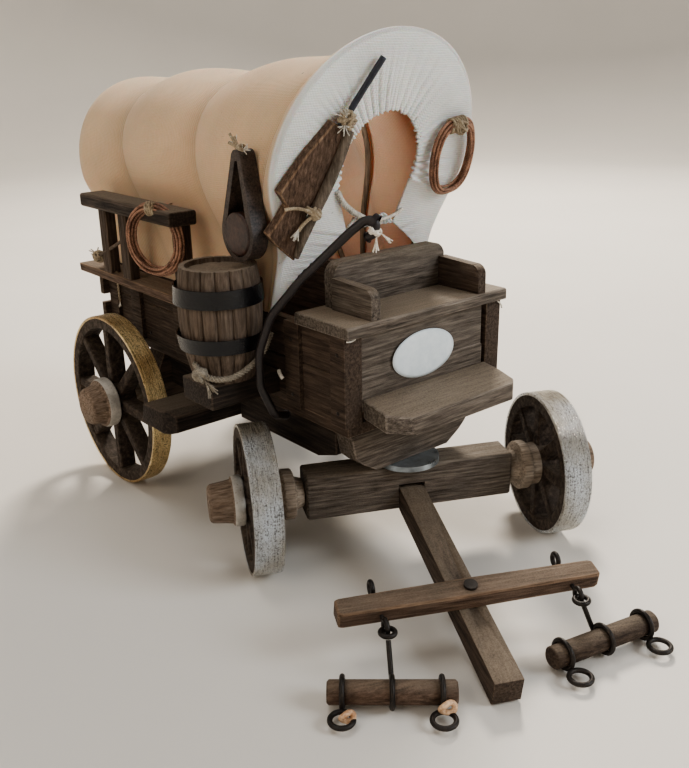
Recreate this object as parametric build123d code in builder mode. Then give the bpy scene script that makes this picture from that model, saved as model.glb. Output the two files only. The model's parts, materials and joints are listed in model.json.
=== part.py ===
from build123d import *
import os
from math import atan2, cos, degrees, radians, sin, sqrt

# Small wooden model of a covered wagon, with a cloth top, four wheels and a tongue.
# The wagon faces -Y, its left-hand side is +X and the floor is z = 0. Millimetres.

os.makedirs("parts", exist_ok=True)

# Where the wagon stands in the frame: its centre line and its front panel.
# The origin is under the middle of the whole box, tongue and bars included.
bed_x = 9.2
bed_y = -45.9

# Box of the wagon
half_width = 38.0
box_length = 168.0
floor_z = 61.8
rail_z = 93.2
plank = 3.0
floor_thick = 4.0
seam_z = 78.7
post = 7.5

# Front axle, drawn square to its own kingpin and then turned as it stands
kingpin_y = 9.9
steer_angle = 26.2
beam_half = 39.9
beam_deep = 12.9
beam_bottom = 18.9
beam_top = 36.0
notch_half = 5.0
notch_top = 28.9
notch_back = 0.9

# Wheels: radius, width of the tread, inner face from the centre line
front_radius = 27.7
front_tread = 10.4
front_inner = 51.8
rear_radius = 37.7
rear_tread = 8.3
rear_inner = 48.5
rear_y = 138.2
tyre_thick = 0.7
rim_deep = 5.4
spoke_count = 8
stub_radius = 2.0
kingpin_radius = 1.6
running_gap = 0.05

# Tongue and the bars that hang on it
tongue_pivot_y = -4.0
tongue_pivot_z = 23.1
tongue_size = 9.2
tongue_length = 94.5
tongue_droop = degrees(atan2(23.1 - 4.6, 94.5))
eye_radius = 3.9
nail_radius = 0.9
evener_ahead = 61.0
evener_half = 43.5
evener_deep = 8.0
evener_thick = 5.6
wire = 0.8

# Cloth top: base height and cloth thickness
cover_z = 93.2
cloth = 1.2
foot_half = 37.4


def level(z, x=0, y=0):
    """Plane looking down on the wagon at height z, its own x to the left-hand wheels and y to the rear."""
    return Plane(origin=(bed_x + x, bed_y + y, z))


def across(y, x=0, z=0):
    """Upright plane across the wagon at y, its own x to the left-hand wheels and y up. It extrudes forwards."""
    return Plane(origin=(bed_x + x, bed_y + y, z), x_dir=(1, 0, 0), z_dir=(0, -1, 0))


def along(x, y=0, z=0):
    """Upright plane along the wagon at x, its own x to the rear and y up. It extrudes to the left-hand side."""
    return Plane(origin=(bed_x + x, bed_y + y, z), x_dir=(0, 1, 0), z_dir=(1, 0, 0))


steered = Plane(
    origin=(bed_x, bed_y + kingpin_y, 0),
    x_dir=(cos(radians(steer_angle)), -sin(radians(steer_angle)), 0),
    z_dir=(0, 0, 1),
)


def turned(point):
    """A point given square to the kingpin, in the frame."""
    return steered.from_local_coords(Vector(*point))


def turned_side(x, y=0, z=0):
    """Upright plane along the turned tongue, its own x backwards and y up."""
    return Plane(origin=turned((x, y, z)), x_dir=steered.y_dir, z_dir=steered.x_dir)


def turned_across(y, x=0, z=0):
    """Upright plane along the turned axle, its own x to the left-hand wheels and y up."""
    return Plane(origin=turned((x, y, z)), x_dir=steered.x_dir, z_dir=-steered.y_dir)


def keep(piece, name):
    piece.part.label = name
    export_step(piece.part, "parts/" + name + ".step")


# Bed
with BuildPart(level(floor_z - floor_thick)) as bed_floor:
    with Locations((0, box_length / 2)):
        Box(2 * (half_width - 2), box_length - 2, floor_thick, align=(Align.CENTER, Align.CENTER, Align.MIN))
    # joints between the floor boards
    with BuildSketch(level(floor_z)):
        with Locations((0, box_length / 2)):
            with GridLocations(14, 1, 4, 1):
                Rectangle(0.6, box_length)
    extrude(amount=-0.8, mode=Mode.SUBTRACT)
keep(bed_floor, "bed_floor")

# Sides: two boards, upright posts outside them and a top rail. Posts: front edge y, width.
side_posts = ((0.0, 7.5), (24.7, 8.0), (64.0, 8.0), (102.0, 8.0), (139.0, 8.0), (160.5, 7.5))
inner = half_width - 5.0
rail_front = 70.0
rail_back = 171.0
rail_thick = 3.6
for side, name, rail_wide in ((-1, "right", 11.5), (1, "left", 5.0)):
    with BuildPart() as side_wall:
        # lower and upper board, the gap between them showing as a seam
        with BuildSketch(along(side * inner)):
            with Locations((box_length / 2, (floor_z + seam_z) / 2)):
                Rectangle(box_length, seam_z - floor_z)
            with Locations((box_length / 2, (rail_z + seam_z) / 2)):
                Rectangle(box_length, rail_z - seam_z)
        extrude(amount=side * plank)
        with BuildSketch(along(side * (inner + plank))):
            with Locations((box_length / 2, seam_z)):
                Rectangle(box_length, 0.7)
        extrude(amount=-side * 0.8, mode=Mode.SUBTRACT)
        # posts
        with BuildSketch(along(side * (inner + plank))):
            for post_y, post_wide in side_posts:
                with Locations((post_y + post_wide / 2, (floor_z + rail_z) / 2)):
                    Rectangle(post_wide, rail_z - floor_z)
        extrude(amount=side * (half_width - inner - plank))
        # front corner post stands inside the board's line as well
        with BuildSketch(level(floor_z)):
            with Locations((side * (half_width - post / 2), post / 2)):
                Rectangle(post, post)
        extrude(amount=rail_z - floor_z)
    keep(side_wall, "side_" + name)

    # rail outside the posts, a wide one that carries the rack on the right-hand side
    with BuildPart() as rail:
        with BuildSketch(along(side * half_width)):
            with Locations(((rail_front + rail_back) / 2, rail_z - rail_thick / 2)):
                Rectangle(rail_back - rail_front, rail_thick)
        extrude(amount=side * rail_wide)
    keep(rail, "top_rail_" + name)

# Front panel: lower and upper board between the corner posts
with BuildPart() as front_panel:
    with BuildSketch(across(5.0)):
        with Locations((-0.8, (66.0 + 77.5) / 2)):
            Rectangle(59.0, 77.5 - 66.0)
    extrude(amount=4.8)
    with BuildSketch(across(5.0)):
        with Locations((-0.8, (77.5 + rail_z) / 2)):
            Rectangle(59.0, rail_z - 77.5)
    extrude(amount=4.2)
keep(front_panel, "front_panel")

# Tail: two boards with a gap, their ends standing out past the sides
with BuildPart() as tailboard:
    with BuildSketch(across(box_length + plank)):
        for board_z, board_high in ((68.5, 10.0), (82.5, 10.0)):
            with Locations((0, board_z)):
                Rectangle(2 * half_width + 6, board_high)
    extrude(amount=plank)
    with BuildSketch(across(box_length + plank)):
        with Locations((-22, 76), (22, 76)):
            Rectangle(7, 28)
    extrude(amount=-2.0)
keep(tailboard, "tailboard")

# Seat: a plank over the front corner, a back and two arms
seat_top = 97.4
seat_back_y = 18.5
with BuildPart() as seat_plank:
    with BuildSketch(level(rail_z)):
        with Locations((0, 11.6)):
            Rectangle(77.0, 28.2)
    extrude(amount=seat_top - rail_z)
    chamfer(seat_plank.edges().filter_by(Axis.X).group_by(Axis.Z)[-1], length=0.6)
keep(seat_plank, "seat_plank")

with BuildPart() as seat_back:
    with BuildSketch(across(seat_back_y + 5.0)):
        with BuildLine():
            Polyline((-26.5, seat_top), (26.5, seat_top), (26.5, 109.6))
            RadiusArc((26.5, 109.6), (21.5, 113.4), -5.4)
            Line((21.5, 113.4), (-21.5, 113.4))
            RadiusArc((-21.5, 113.4), (-26.5, 109.6), -5.4)
            Line((-26.5, 109.6), (-26.5, seat_top))
        make_face()
    extrude(amount=5.0)
keep(seat_back, "seat_back")

for side, name in ((-1, "right"), (1, "left")):
    with BuildPart() as arm:
        with BuildSketch(along(side * 25.6)):
            with BuildLine():
                Polyline((seat_back_y, seat_top), (-1.6, seat_top), (-1.6, 104.4))
                RadiusArc((-1.6, 104.4), (1.8, 107.6), 3.6)
                Polyline((1.8, 107.6), (seat_back_y, 108.4), (seat_back_y, seat_top))
            make_face()
        extrude(amount=1.9, both=True)
    keep(arm, "seat_arm_" + name)

# Footboard, sloping down and forwards, with its right front corner cut back
with BuildPart() as footboard:
    with BuildSketch(along(-30.0)):
        with BuildLine():
            Polyline((0.2, 70.4), (-7.6, 69.0), (-16.4, 66.6), (-16.9, 60.4), (0.2, 63.6), close=True)
        make_face()
    extrude(amount=60.0)
    with BuildSketch(level(75)):
        with BuildLine():
            Polyline((-31, -10.5), (-31, -20), (-20.5, -20), (-20.5, -17.4), close=True)
        make_face()
        with BuildLine():
            Polyline((31, -13.5), (31, -20), (26.5, -20), (26.5, -17.4), close=True)
        make_face()
    extrude(amount=-20, mode=Mode.SUBTRACT)
keep(footboard, "footboard")

# Under the bed: front bolster shaped to a foot, two sills, rear bolster and axle
with BuildPart() as front_bolster:
    with BuildSketch(across(15.5)):
        with BuildLine():
            Polyline(
                (33, floor_z - floor_thick), (29.5, 53), (28, 45.5), (24.5, 42.3), (18, 38.1),
                (-18, 38.1), (-24.5, 42.3), (-28, 45.5), (-29.5, 53), (-33, floor_z - floor_thick), close=True,
            )
        make_face()
    extrude(amount=9.0)

with BuildPart() as kingpin_hole:
    with BuildSketch(level(30, y=kingpin_y)):
        Circle(kingpin_radius)
    extrude(amount=40)
front_bolster.part = front_bolster.part - kingpin_hole.part
keep(front_bolster, "front_bolster")

with BuildPart() as turntable:
    # washer between the bolster and the axle, and the pin through both
    with BuildSketch(level(beam_top + 0.1, y=kingpin_y)):
        Circle(12.0)
    extrude(amount=38.1 - beam_top - 0.1)
    with BuildSketch(level(notch_top + 1, y=kingpin_y)):
        Circle(kingpin_radius)
    extrude(amount=floor_z - floor_thick - notch_top - 1)
keep(turntable, "turntable")

rear_half = 36.6
with BuildPart() as rear_axle:
    with BuildSketch(across(rear_y + 6.5)):
        with BuildLine():
            Polyline(
                (rear_half, 29.5), (rear_half, 46.5), (31, floor_z - floor_thick),
                (-31, floor_z - floor_thick), (-rear_half, 46.5), (-rear_half, 29.5), close=True,
            )
        make_face()
    extrude(amount=13.0)
    with BuildSketch(along(0, y=rear_y, z=rear_radius)):
        Circle(stub_radius)
    extrude(amount=64.0, both=True)
keep(rear_axle, "rear_axle")

with BuildPart() as reach:
    with BuildSketch(across(rear_y - 6.5)):
        with Locations((0, 41.8)):
            Rectangle(9, 6.6)
    extrude(amount=rear_y - 6.5 - 15.5)
keep(reach, "reach_pole")

# Brake beam across the wagon just ahead of the rear wheels, lapped over the reach pole
with BuildPart() as brake_beam:
    with BuildSketch(along(-62.0)):
        with BuildLine():
            Polyline((77.0, 42.0), (77.0, 48.5), (80.0, 50.8), (97.5, 49.6), (99.0, 41.4), (80, 41.0), close=True)
        make_face()
    extrude(amount=124.0)
    with BuildSketch(level(55)):
        for side in (-1, 1):
            with BuildLine():
                Polyline((side * 63, 76), (side * 63, 84), (side * 58, 76), close=True)
            make_face()
    extrude(amount=-20, mode=Mode.SUBTRACT)
brake_beam.part = brake_beam.part - reach.part
keep(brake_beam, "brake_beam")

with BuildPart() as sills:
    for side in (-1, 1):
        with BuildSketch(along(side * 26.0)):
            with BuildLine():
                Polyline(
                    (15.5, floor_z - floor_thick), (15.5, 44.5), (26, 41.0), (76.5, 41.0), (76.5, 51.0),
                    (99.5, 51.0), (99.5, 41.0), (rear_y - 6.5, 41.0), (rear_y - 6.5, floor_z - floor_thick),
                    close=True,
                )
            make_face()
        extrude(amount=3.5, both=True)
keep(sills, "bed_sills")

# Water barrel on its shelf
barrel_x = -53.6
barrel_y = 48.5
barrel_bottom = 72.6
barrel_top = 113.4
belly_radius = 15.2
head_radius = 13.8
foot_radius = 11.0
with BuildPart() as shelf:
    with BuildSketch(level(64.2, x=-38, y=barrel_y)):
        with Locations((-12.5, 0)):
            Rectangle(29, 19)
    extrude(amount=barrel_bottom - 64.2)
keep(shelf, "barrel_shelf")

with BuildPart() as barrel:
    with BuildSketch(along(barrel_x, y=barrel_y)):
        with BuildLine():
            Line((0, barrel_bottom), (foot_radius, barrel_bottom))
            ThreePointArc((foot_radius, barrel_bottom), (belly_radius, 96.0), (head_radius, barrel_top))
            Polyline((head_radius, barrel_top), (head_radius - 2, barrel_top), (head_radius - 2.3, 111.6), (0, 111.6))
            Line((0, 111.6), (0, barrel_bottom))
        make_face()
    revolve(axis=Axis((bed_x + barrel_x, bed_y + barrel_y, 0), (0, 0, 1)))
keep(barrel, "barrel")

with BuildPart() as bands:
    for low, high, low_radius, high_radius in ((100.4, 106.6, 15.35, 14.95), (84.2, 89.6, 14.2, 15.0)):
        with BuildSketch(along(barrel_x, y=barrel_y)):
            with BuildLine():
                Polyline(
                    (low_radius, low), (low_radius + 0.5, low), (high_radius + 0.5, high), (high_radius, high), close=True
                )
            make_face()
        revolve(axis=Axis((bed_x + barrel_x, bed_y + barrel_y, 0), (0, 0, 1)))
bands.part = bands.part - barrel.part
keep(bands, "barrel_bands")

# Rack board on posts, over the rear right-hand side
rack_out = -55.6
with BuildPart() as rack_board:
    with BuildSketch(along(rack_out)):
        with Locations(((75.5 + 149.0) / 2, 124.2)):
            Rectangle(73.5, 5.4)
    extrude(amount=11.6)
    chamfer(rack_board.edges().filter_by(Axis.Y), length=0.7)
keep(rack_board, "rack_board")
with BuildPart() as rack_posts:
    with BuildSketch(level(rail_z)):
        for rack_post_y in (82.0, 125.5, 143.0):
            with Locations((-47.2, rack_post_y)):
                Rectangle(4.6, 6.5)
    extrude(amount=121.5 - rail_z)
keep(rack_posts, "rack_posts")

# Brake lever: one bent rod with a hook at the top
lever_radius = 1.9
lever_route = (
    (-38.2, 33.0, 57.5), (-46.5, 28.3, 61.0), (-50.0, 31.2, 72.0), (-50.2, 30.6, 84.5), (-47.5, 26.4, 97.5),
    (-42.0, 17.0, 110.2), (-31.0, 4.4, 126.4), (-27.0, -0.2, 131.2), (-25.0, -4.6, 128.0), (-27.2, 1.0, 124.4),
)
lever_bends = (3.4, 7, 22, 16, 30, 60, 4.2, 2.9)
with BuildPart() as brake_lever:
    with BuildLine():
        lever_line = FilletPolyline(
            *[(bed_x + px, bed_y + py, pz) for px, py, pz in lever_route], radius=lever_bends
        )
    with BuildSketch(Plane(origin=lever_line @ 0, z_dir=lever_line % 0)):
        Circle(lever_radius)
    sweep(path=lever_line)
keep(brake_lever, "brake_lever")

# Cloth top, stretched over four bows. Bows: foot y, crest y, crest z, half width.
bows = (
    (40.0, 12.0, 187.4, 43.0),
    (60.0, 68.0, 178.2, 44.5),
    (110.0, 133.0, 174.4, 44.5),
    (158.0, 188.0, 171.0, 42.5),
)
# Between the bows the cloth sags: foot y, crest y, crest z, half width.
sags = (
    (49.0, 42.0, 177.6, 42.5),
    (85.0, 101.0, 172.4, 43.2),
    (134.0, 160.0, 169.6, 42.6),
)


def bow_plane(foot_y, crest_y, crest_z):
    rise = Vector(0, crest_y - foot_y, crest_z - cover_z).normalized()
    return Plane(
        origin=(bed_x, bed_y + foot_y, cover_z), x_dir=(1, 0, 0), z_dir=Vector(1, 0, 0).cross(rise)
    )


def bow_height(foot_y, crest_y, crest_z):
    return sqrt((crest_y - foot_y) ** 2 + (crest_z - cover_z) ** 2)


def bow_arcs(wide, high, inset, drop, lower=0):
    """From foot to foot over the wagon, moved in by inset, its feet down by drop and its crest by lower."""
    w = wide - inset
    foot = foot_half - inset
    spring = high - wide
    Spline((foot, -drop), (foot + 1.3, 20), (w, spring), tangents=((0, 1), (0, 1)))
    ThreePointArc((w, spring), (0, high - inset - lower), (-w, spring))
    Spline((-w, spring), (-foot - 1.3, 20), (-foot, -drop), tangents=((0, -1), (0, -1)))


def bow_outline(wide, high, inset, drop):
    """The bow's line closed by a straight foot."""
    Line((-foot_half + inset, -drop), (foot_half - inset, -drop))
    bow_arcs(wide, high, inset, drop)


bays = []
for first, between, last in ((bows[0], sags[0], bows[1]), (bows[1], sags[1], bows[2]), (bows[2], sags[2], bows[3])):
    with BuildPart() as bay:
        for foot_y, crest_y, crest_z, wide in (first, between, last):
            with BuildSketch(bow_plane(foot_y, crest_y, crest_z)):
                with BuildLine():
                    bow_outline(wide, bow_height(foot_y, crest_y, crest_z), 0, 0)
                make_face()
        loft()
        for foot_y, crest_y, crest_z, wide in (first, between, last):
            with BuildSketch(bow_plane(foot_y, crest_y, crest_z)):
                with BuildLine():
                    bow_outline(wide, bow_height(foot_y, crest_y, crest_z), cloth, 2)
                make_face()
        loft(mode=Mode.SUBTRACT)
    bays.append(bay.part)

# End cloths, gathered round a round opening, and open like a tent flap below it
opening_radius = 17.5
opening_up = 50.5
ends = []
for bow, inwards in ((bows[0], -1), (bows[3], 1)):
    foot_y, crest_y, crest_z, wide = bow
    with BuildPart() as end:
        with BuildSketch(bow_plane(foot_y, crest_y, crest_z)):
            with BuildLine():
                bow_outline(wide, bow_height(foot_y, crest_y, crest_z), 0, 0)
            make_face()
            with Locations((0, opening_up)):
                Circle(opening_radius, mode=Mode.SUBTRACT)
            with BuildLine():
                Polyline((-34, -1), (34, -1), (33, 6), (7, opening_up - 14), (-5, opening_up - 14), (-33, 6), close=True)
            make_face(mode=Mode.SUBTRACT)
        extrude(amount=inwards * cloth)
    ends.append(end.part)

with BuildPart() as cover:
    for cloth_piece in bays + ends:
        add(cloth_piece)
keep(cover, "cover")

# Bows under the cloth
bow_rod = 1.2
# How far each stands back from its edge of the cloth, clears it at the sides and at the crest.
bow_shifts = ((-3.6, 2.4, 2.2), (0.0, 0.8, 0.6), (0.0, 0.8, 0.6), (3.6, 2.4, 0.6))
with BuildPart() as bow_rods:
    for bow, (shift, clear, lower) in zip(bows, bow_shifts):
        foot_y, crest_y, crest_z, wide = bow
        with BuildLine(bow_plane(foot_y, crest_y, crest_z).offset(shift)) as rod_line:
            bow_arcs(wide, bow_height(foot_y, crest_y, crest_z), cloth + bow_rod + clear, 2, lower)
        with BuildSketch(Plane(origin=rod_line.wires()[0] @ 0, z_dir=rod_line.wires()[0] % 0)):
            Circle(bow_rod)
        sweep(path=rod_line.wires()[0])
    with BuildSketch(level(cover_z, y=box_length / 2)):
        Rectangle(100, 200)
    extrude(amount=-6, mode=Mode.SUBTRACT)
bow_rods.part = bow_rods.part - cover.part
keep(bow_rods, "bows")

# Toy rifle tied to the front of the cloth
rifle_foot = Vector(bed_x - 40.9, bed_y + 29.5, 119.4)
rifle_tip = Vector(bed_x - 9.8, bed_y + 11.8, 179.2)
rifle_up = (rifle_tip - rifle_foot).normalized()
rifle_across = rifle_up.cross(Vector(0, -0.958, -0.286)).normalized()
rifle = Plane(origin=rifle_foot, x_dir=-rifle_across, z_dir=(-rifle_across).cross(rifle_up))
with BuildPart() as rifle_barrel:
    with BuildSketch(Plane(origin=rifle_foot + rifle_up * 22, z_dir=rifle_up)):
        Circle(1.5)
    extrude(amount=47)
keep(rifle_barrel, "rifle_barrel")
with BuildPart() as rifle_stock:
    with BuildSketch(rifle):
        with BuildLine():
            Polyline((1.4, 45), (1.8, 21.8), (2.6, 14), (4.2, 0), (-8.5, -3), (-7.2, 14), (-7.8, 19), (-1.7, 45), close=True)
        make_face()
    extrude(amount=1.8, both=True)
rifle_stock.part = rifle_stock.part - rifle_barrel.part
keep(rifle_stock, "rifle_stock")

# Canteen in its strap, hung on the right-hand side
canteen_y = 41.0
canteen_z = 123.2
canteen_out = -49.8
with BuildPart() as canteen:
    with BuildSketch(along(canteen_out, y=canteen_y, z=canteen_z)):
        Circle(7.4)
    extrude(amount=6.2)
    fillet(canteen.edges().group_by(Axis.X)[0], radius=0.8)
keep(canteen, "canteen")
with BuildPart() as strap:
    with BuildSketch(along(canteen_out + 0.4, y=canteen_y, z=canteen_z)):
        Circle(9.2)
        with Locations((-1.5, 25)):
            Circle(2.6)
        make_hull()
        Circle(7.5, mode=Mode.SUBTRACT)
        with BuildLine():
            Polyline((-5.4, 5.6), (5.2, 5.6), (-0.9, 24), (-2.2, 24), close=True)
        make_face(mode=Mode.SUBTRACT)
    extrude(amount=6.2)
keep(strap, "canteen_strap")

# Lariats: coils of cord, drawn as the outer form of all their turns.
# Name, centre, direction of its own width, straight part of its sides, radius of its ends.
lariat_cord = 2.3
lariats = (
    ("lariat_rear", (-59.4, 87.0, 112.0), (0.30, -0.954, 0), 4.0, 9.0),
    ("lariat_front", (35.5, 19.6, 141.0), (1.0, 0, 0), 1.0, 10.6),
)
for name, centre, width_dir, straight, end_radius in lariats:
    across_coil = Vector(*width_dir).normalized()
    hang = Plane(
        origin=(bed_x + centre[0], bed_y + centre[1], centre[2]), x_dir=across_coil,
        z_dir=across_coil.cross(Vector(0, 0, 1)),
    )
    top = straight / 2
    with BuildPart() as lariat:
        with BuildLine(hang) as loop:
            Line((end_radius, -top), (end_radius, top))
            ThreePointArc((end_radius, top), (0, top + end_radius), (-end_radius, top))
            Line((-end_radius, top), (-end_radius, -top))
            ThreePointArc((-end_radius, -top), (0, -top - end_radius), (end_radius, -top))
        with BuildSketch(Plane(origin=hang.from_local_coords(Vector(end_radius, -top, 0)), z_dir=hang.y_dir)):
            Circle(lariat_cord)
        sweep(path=loop.wires()[0])
    keep(lariat, name)

# Front axle: beam with a notch for the tongue, stubs for the wheels
stub_front = 70.0
with BuildPart() as tongue_nail:
    with BuildSketch(turned_side(0, tongue_pivot_y, tongue_pivot_z)):
        Circle(nail_radius)
    extrude(amount=12, both=True)
keep(tongue_nail, "tongue_nail")

with BuildPart() as axle_beam:
    with BuildSketch(turned_side(0)):
        with BuildLine():
            Polyline(
                (-beam_deep / 2, beam_bottom), (-beam_deep / 2, beam_top), (beam_deep / 2, beam_top),
                (beam_deep / 2, beam_bottom), close=True,
            )
        make_face()
    extrude(amount=beam_half, both=True)
    chamfer(axle_beam.edges(), length=0.7)
    with BuildSketch(turned_side(0)):
        with BuildLine():
            Polyline(
                (-8, beam_bottom - 1), (notch_back, beam_bottom - 1), (notch_back, notch_top),
                (-8, notch_top), close=True,
            )
        make_face()
    extrude(amount=notch_half, both=True, mode=Mode.SUBTRACT)
    with BuildSketch(Plane(origin=turned((0, 0, notch_top - 1)))):
        Circle(kingpin_radius + running_gap)
    extrude(amount=20, mode=Mode.SUBTRACT)
    for side in (-1, 1):
        with BuildSketch(turned_side(side * beam_half, z=front_radius)):
            Circle(stub_radius)
        extrude(amount=side * (stub_front - beam_half))
axle_beam.part = axle_beam.part - tongue_nail.part
keep(axle_beam, "axle_beam")

with BuildPart() as axle_strap:
    with BuildSketch(Plane(origin=turned((0, 1.6, beam_bottom)), x_dir=steered.x_dir, z_dir=(0, 0, 1))):
        Rectangle(34, 7.4)
    extrude(amount=-1.5)
keep(axle_strap, "axle_strap")

# Tongue, drooping from its nail to the floor. In its own plane x runs forwards along it and y is up.
droop = radians(tongue_droop)
forward = -steered.y_dir * cos(droop) + Vector(0, 0, -sin(droop))
tongue_up = steered.x_dir.cross(-forward)
pivot = turned((0, tongue_pivot_y, tongue_pivot_z))
tongue_side = Plane(origin=pivot, x_dir=forward, z_dir=-steered.x_dir)
half = tongue_size / 2
with BuildPart() as evener_nail:
    with BuildSketch(Plane(origin=pivot + forward * evener_ahead, z_dir=tongue_up)):
        Circle(nail_radius)
    extrude(amount=half + evener_thick + 0.6)
    with BuildSketch(Plane(origin=pivot + forward * evener_ahead + tongue_up * (half + evener_thick + 0.3), z_dir=tongue_up)):
        Circle(2.2)
    extrude(amount=0.9)
keep(evener_nail, "evener_nail")

with BuildPart() as tongue:
    with BuildSketch(tongue_side):
        Circle(eye_radius)
        with BuildLine():
            Polyline(
                (0, eye_radius), (2.2, half), (tongue_length, half), (tongue_length, -half + 0.6),
                (tongue_length - 0.6, -half), (2.2, -half), (0, -eye_radius), close=True,
            )
        make_face()
    extrude(amount=half, both=True)
    with BuildSketch(tongue_side):
        Circle(nail_radius + running_gap)
    extrude(amount=half, both=True, mode=Mode.SUBTRACT)
tongue.part = tongue.part - evener_nail.part
keep(tongue, "tongue")

# Evener: the long bar across the tongue, turning on its nail, with a wire eye before and behind each end
evener_seat = Plane(
    origin=pivot + forward * evener_ahead + tongue_up * (half + 0.1), x_dir=steered.x_dir, z_dir=tongue_up
)
eye_out = (-30.0, 33.5)
ring_radius = 2.2
with BuildPart() as evener:
    with BuildSketch(evener_seat):
        with BuildLine():
            Polyline(
                (-evener_half, -3.0), (-evener_half + 1.5, -3.6), (0, -evener_deep / 2), (evener_half - 1.5, -3.6),
                (evener_half, -3.0), (evener_half, 3.0), (evener_half - 1.5, 3.6), (0, evener_deep / 2),
                (-evener_half + 1.5, 3.6), (-evener_half, 3.0), close=True,
            )
        make_face()
        Circle(nail_radius + running_gap, mode=Mode.SUBTRACT)
    extrude(amount=evener_thick)
keep(evener, "evener")

with BuildPart() as evener_irons:
    for out in eye_out:
        for toward in (-1, 1):
            eye_y = toward * (4.1 + 2.0)
            eye = evener_seat.from_local_coords(Vector(out, eye_y + toward * ring_radius, evener_thick / 2))
            with BuildSketch(Plane(origin=eye + tongue_up * ring_radius, z_dir=forward)):
                Circle(wire)
            revolve(axis=Axis(eye, steered.x_dir))
            inside_bar = evener_seat.from_local_coords(Vector(out, toward * 2.0, evener_thick / 2))
            with BuildSketch(Plane(origin=inside_bar, z_dir=-forward * toward)):
                Circle(wire - 0.1)
            extrude(amount=4.3)
evener_irons.part = evener_irons.part - evener.part
keep(evener_irons, "evener_irons")

# Singletrees: a short bar hung on a link ahead of each end of the evener.
# Name, middle of the bar, how far it is turned, half length.
tree_radius = 3.6
tree_z = 5.35
trees = (
    ("right", (-32.4, -88.2), -15.2, 19.0),
    ("left", (38.8, -81.6), 13.0, 20.5),
)
for (name, (tree_x, tree_y), yaw, long), out in zip(trees, eye_out):
    turn = radians(yaw)
    bar_dir = steered.x_dir * cos(turn) + steered.y_dir * sin(turn)
    centre = turned((tree_x, tree_y, tree_z))
    ahead = Vector(0, 0, -1).cross(bar_dir)
    with BuildPart() as tree:
        with BuildSketch(Plane(origin=centre, z_dir=bar_dir)):
            Circle(tree_radius)
        extrude(amount=long, both=True)
        chamfer(tree.edges().filter_by(GeomType.CIRCLE), length=0.6)
    keep(tree, "singletree_" + name)
    # the link's ring runs through the eye, and the eye's wire through the ring
    eye = evener_seat.from_local_coords(Vector(out, -6.1 - ring_radius, evener_thick / 2))
    ring_middle = eye + forward * ring_radius
    with BuildPart() as irons:
        # wire wrapped round the bar at its middle and near its ends
        for wrap in (0, -long + 4.5, long - 4.5):
            with BuildSketch(Plane(origin=centre + bar_dir * wrap + Vector(0, 0, tree_radius + wire + 0.02), z_dir=ahead)):
                Circle(wire)
            revolve(axis=Axis(centre + bar_dir * wrap, bar_dir))
        # rings for the traces, ahead of the end wraps
        for wrap in (-long + 4.5, long - 4.5):
            ring_mid = centre + bar_dir * wrap + ahead * (tree_radius + 4.6)
            ring_mid = Vector(ring_mid.X, ring_mid.Y, wire + 1.6)
            with BuildSketch(Plane(origin=ring_mid + bar_dir * 3.4, z_dir=ahead)):
                Circle(wire)
            revolve(axis=Axis(ring_mid, (0, 0, 1)))
        # link back to the evener's eye
        link_start = centre - ahead * (tree_radius + wire)
        link_way = (link_start - ring_middle).normalized()
        link_end = ring_middle + link_way * ring_radius
        with BuildSketch(Plane(origin=link_start, z_dir=-link_way)):
            Circle(wire)
        extrude(amount=(link_end - link_start).length)
        flat_way = Vector(link_way.X, link_way.Y, 0).normalized()
        with BuildSketch(Plane(origin=ring_middle + flat_way * ring_radius, z_dir=flat_way.cross(Vector(0, 0, 1)))):
            Circle(wire)
        revolve(axis=Axis(ring_middle, (0, 0, 1)))
    keep(irons, "singletree_irons_" + name)

# Wheels: rim with spokes, tyre and hub.
# Name, side, turns with the front axle, radius, tread, inner face, stub's end.
wheels = (
    ("front_right", -1, True, front_radius, front_tread, front_inner, stub_front),
    ("front_left", 1, True, front_radius, front_tread, front_inner, stub_front),
    ("rear_right", -1, False, rear_radius, rear_tread, rear_inner, 64.0),
    ("rear_left", 1, False, rear_radius, rear_tread, rear_inner, 64.0),
)
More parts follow.
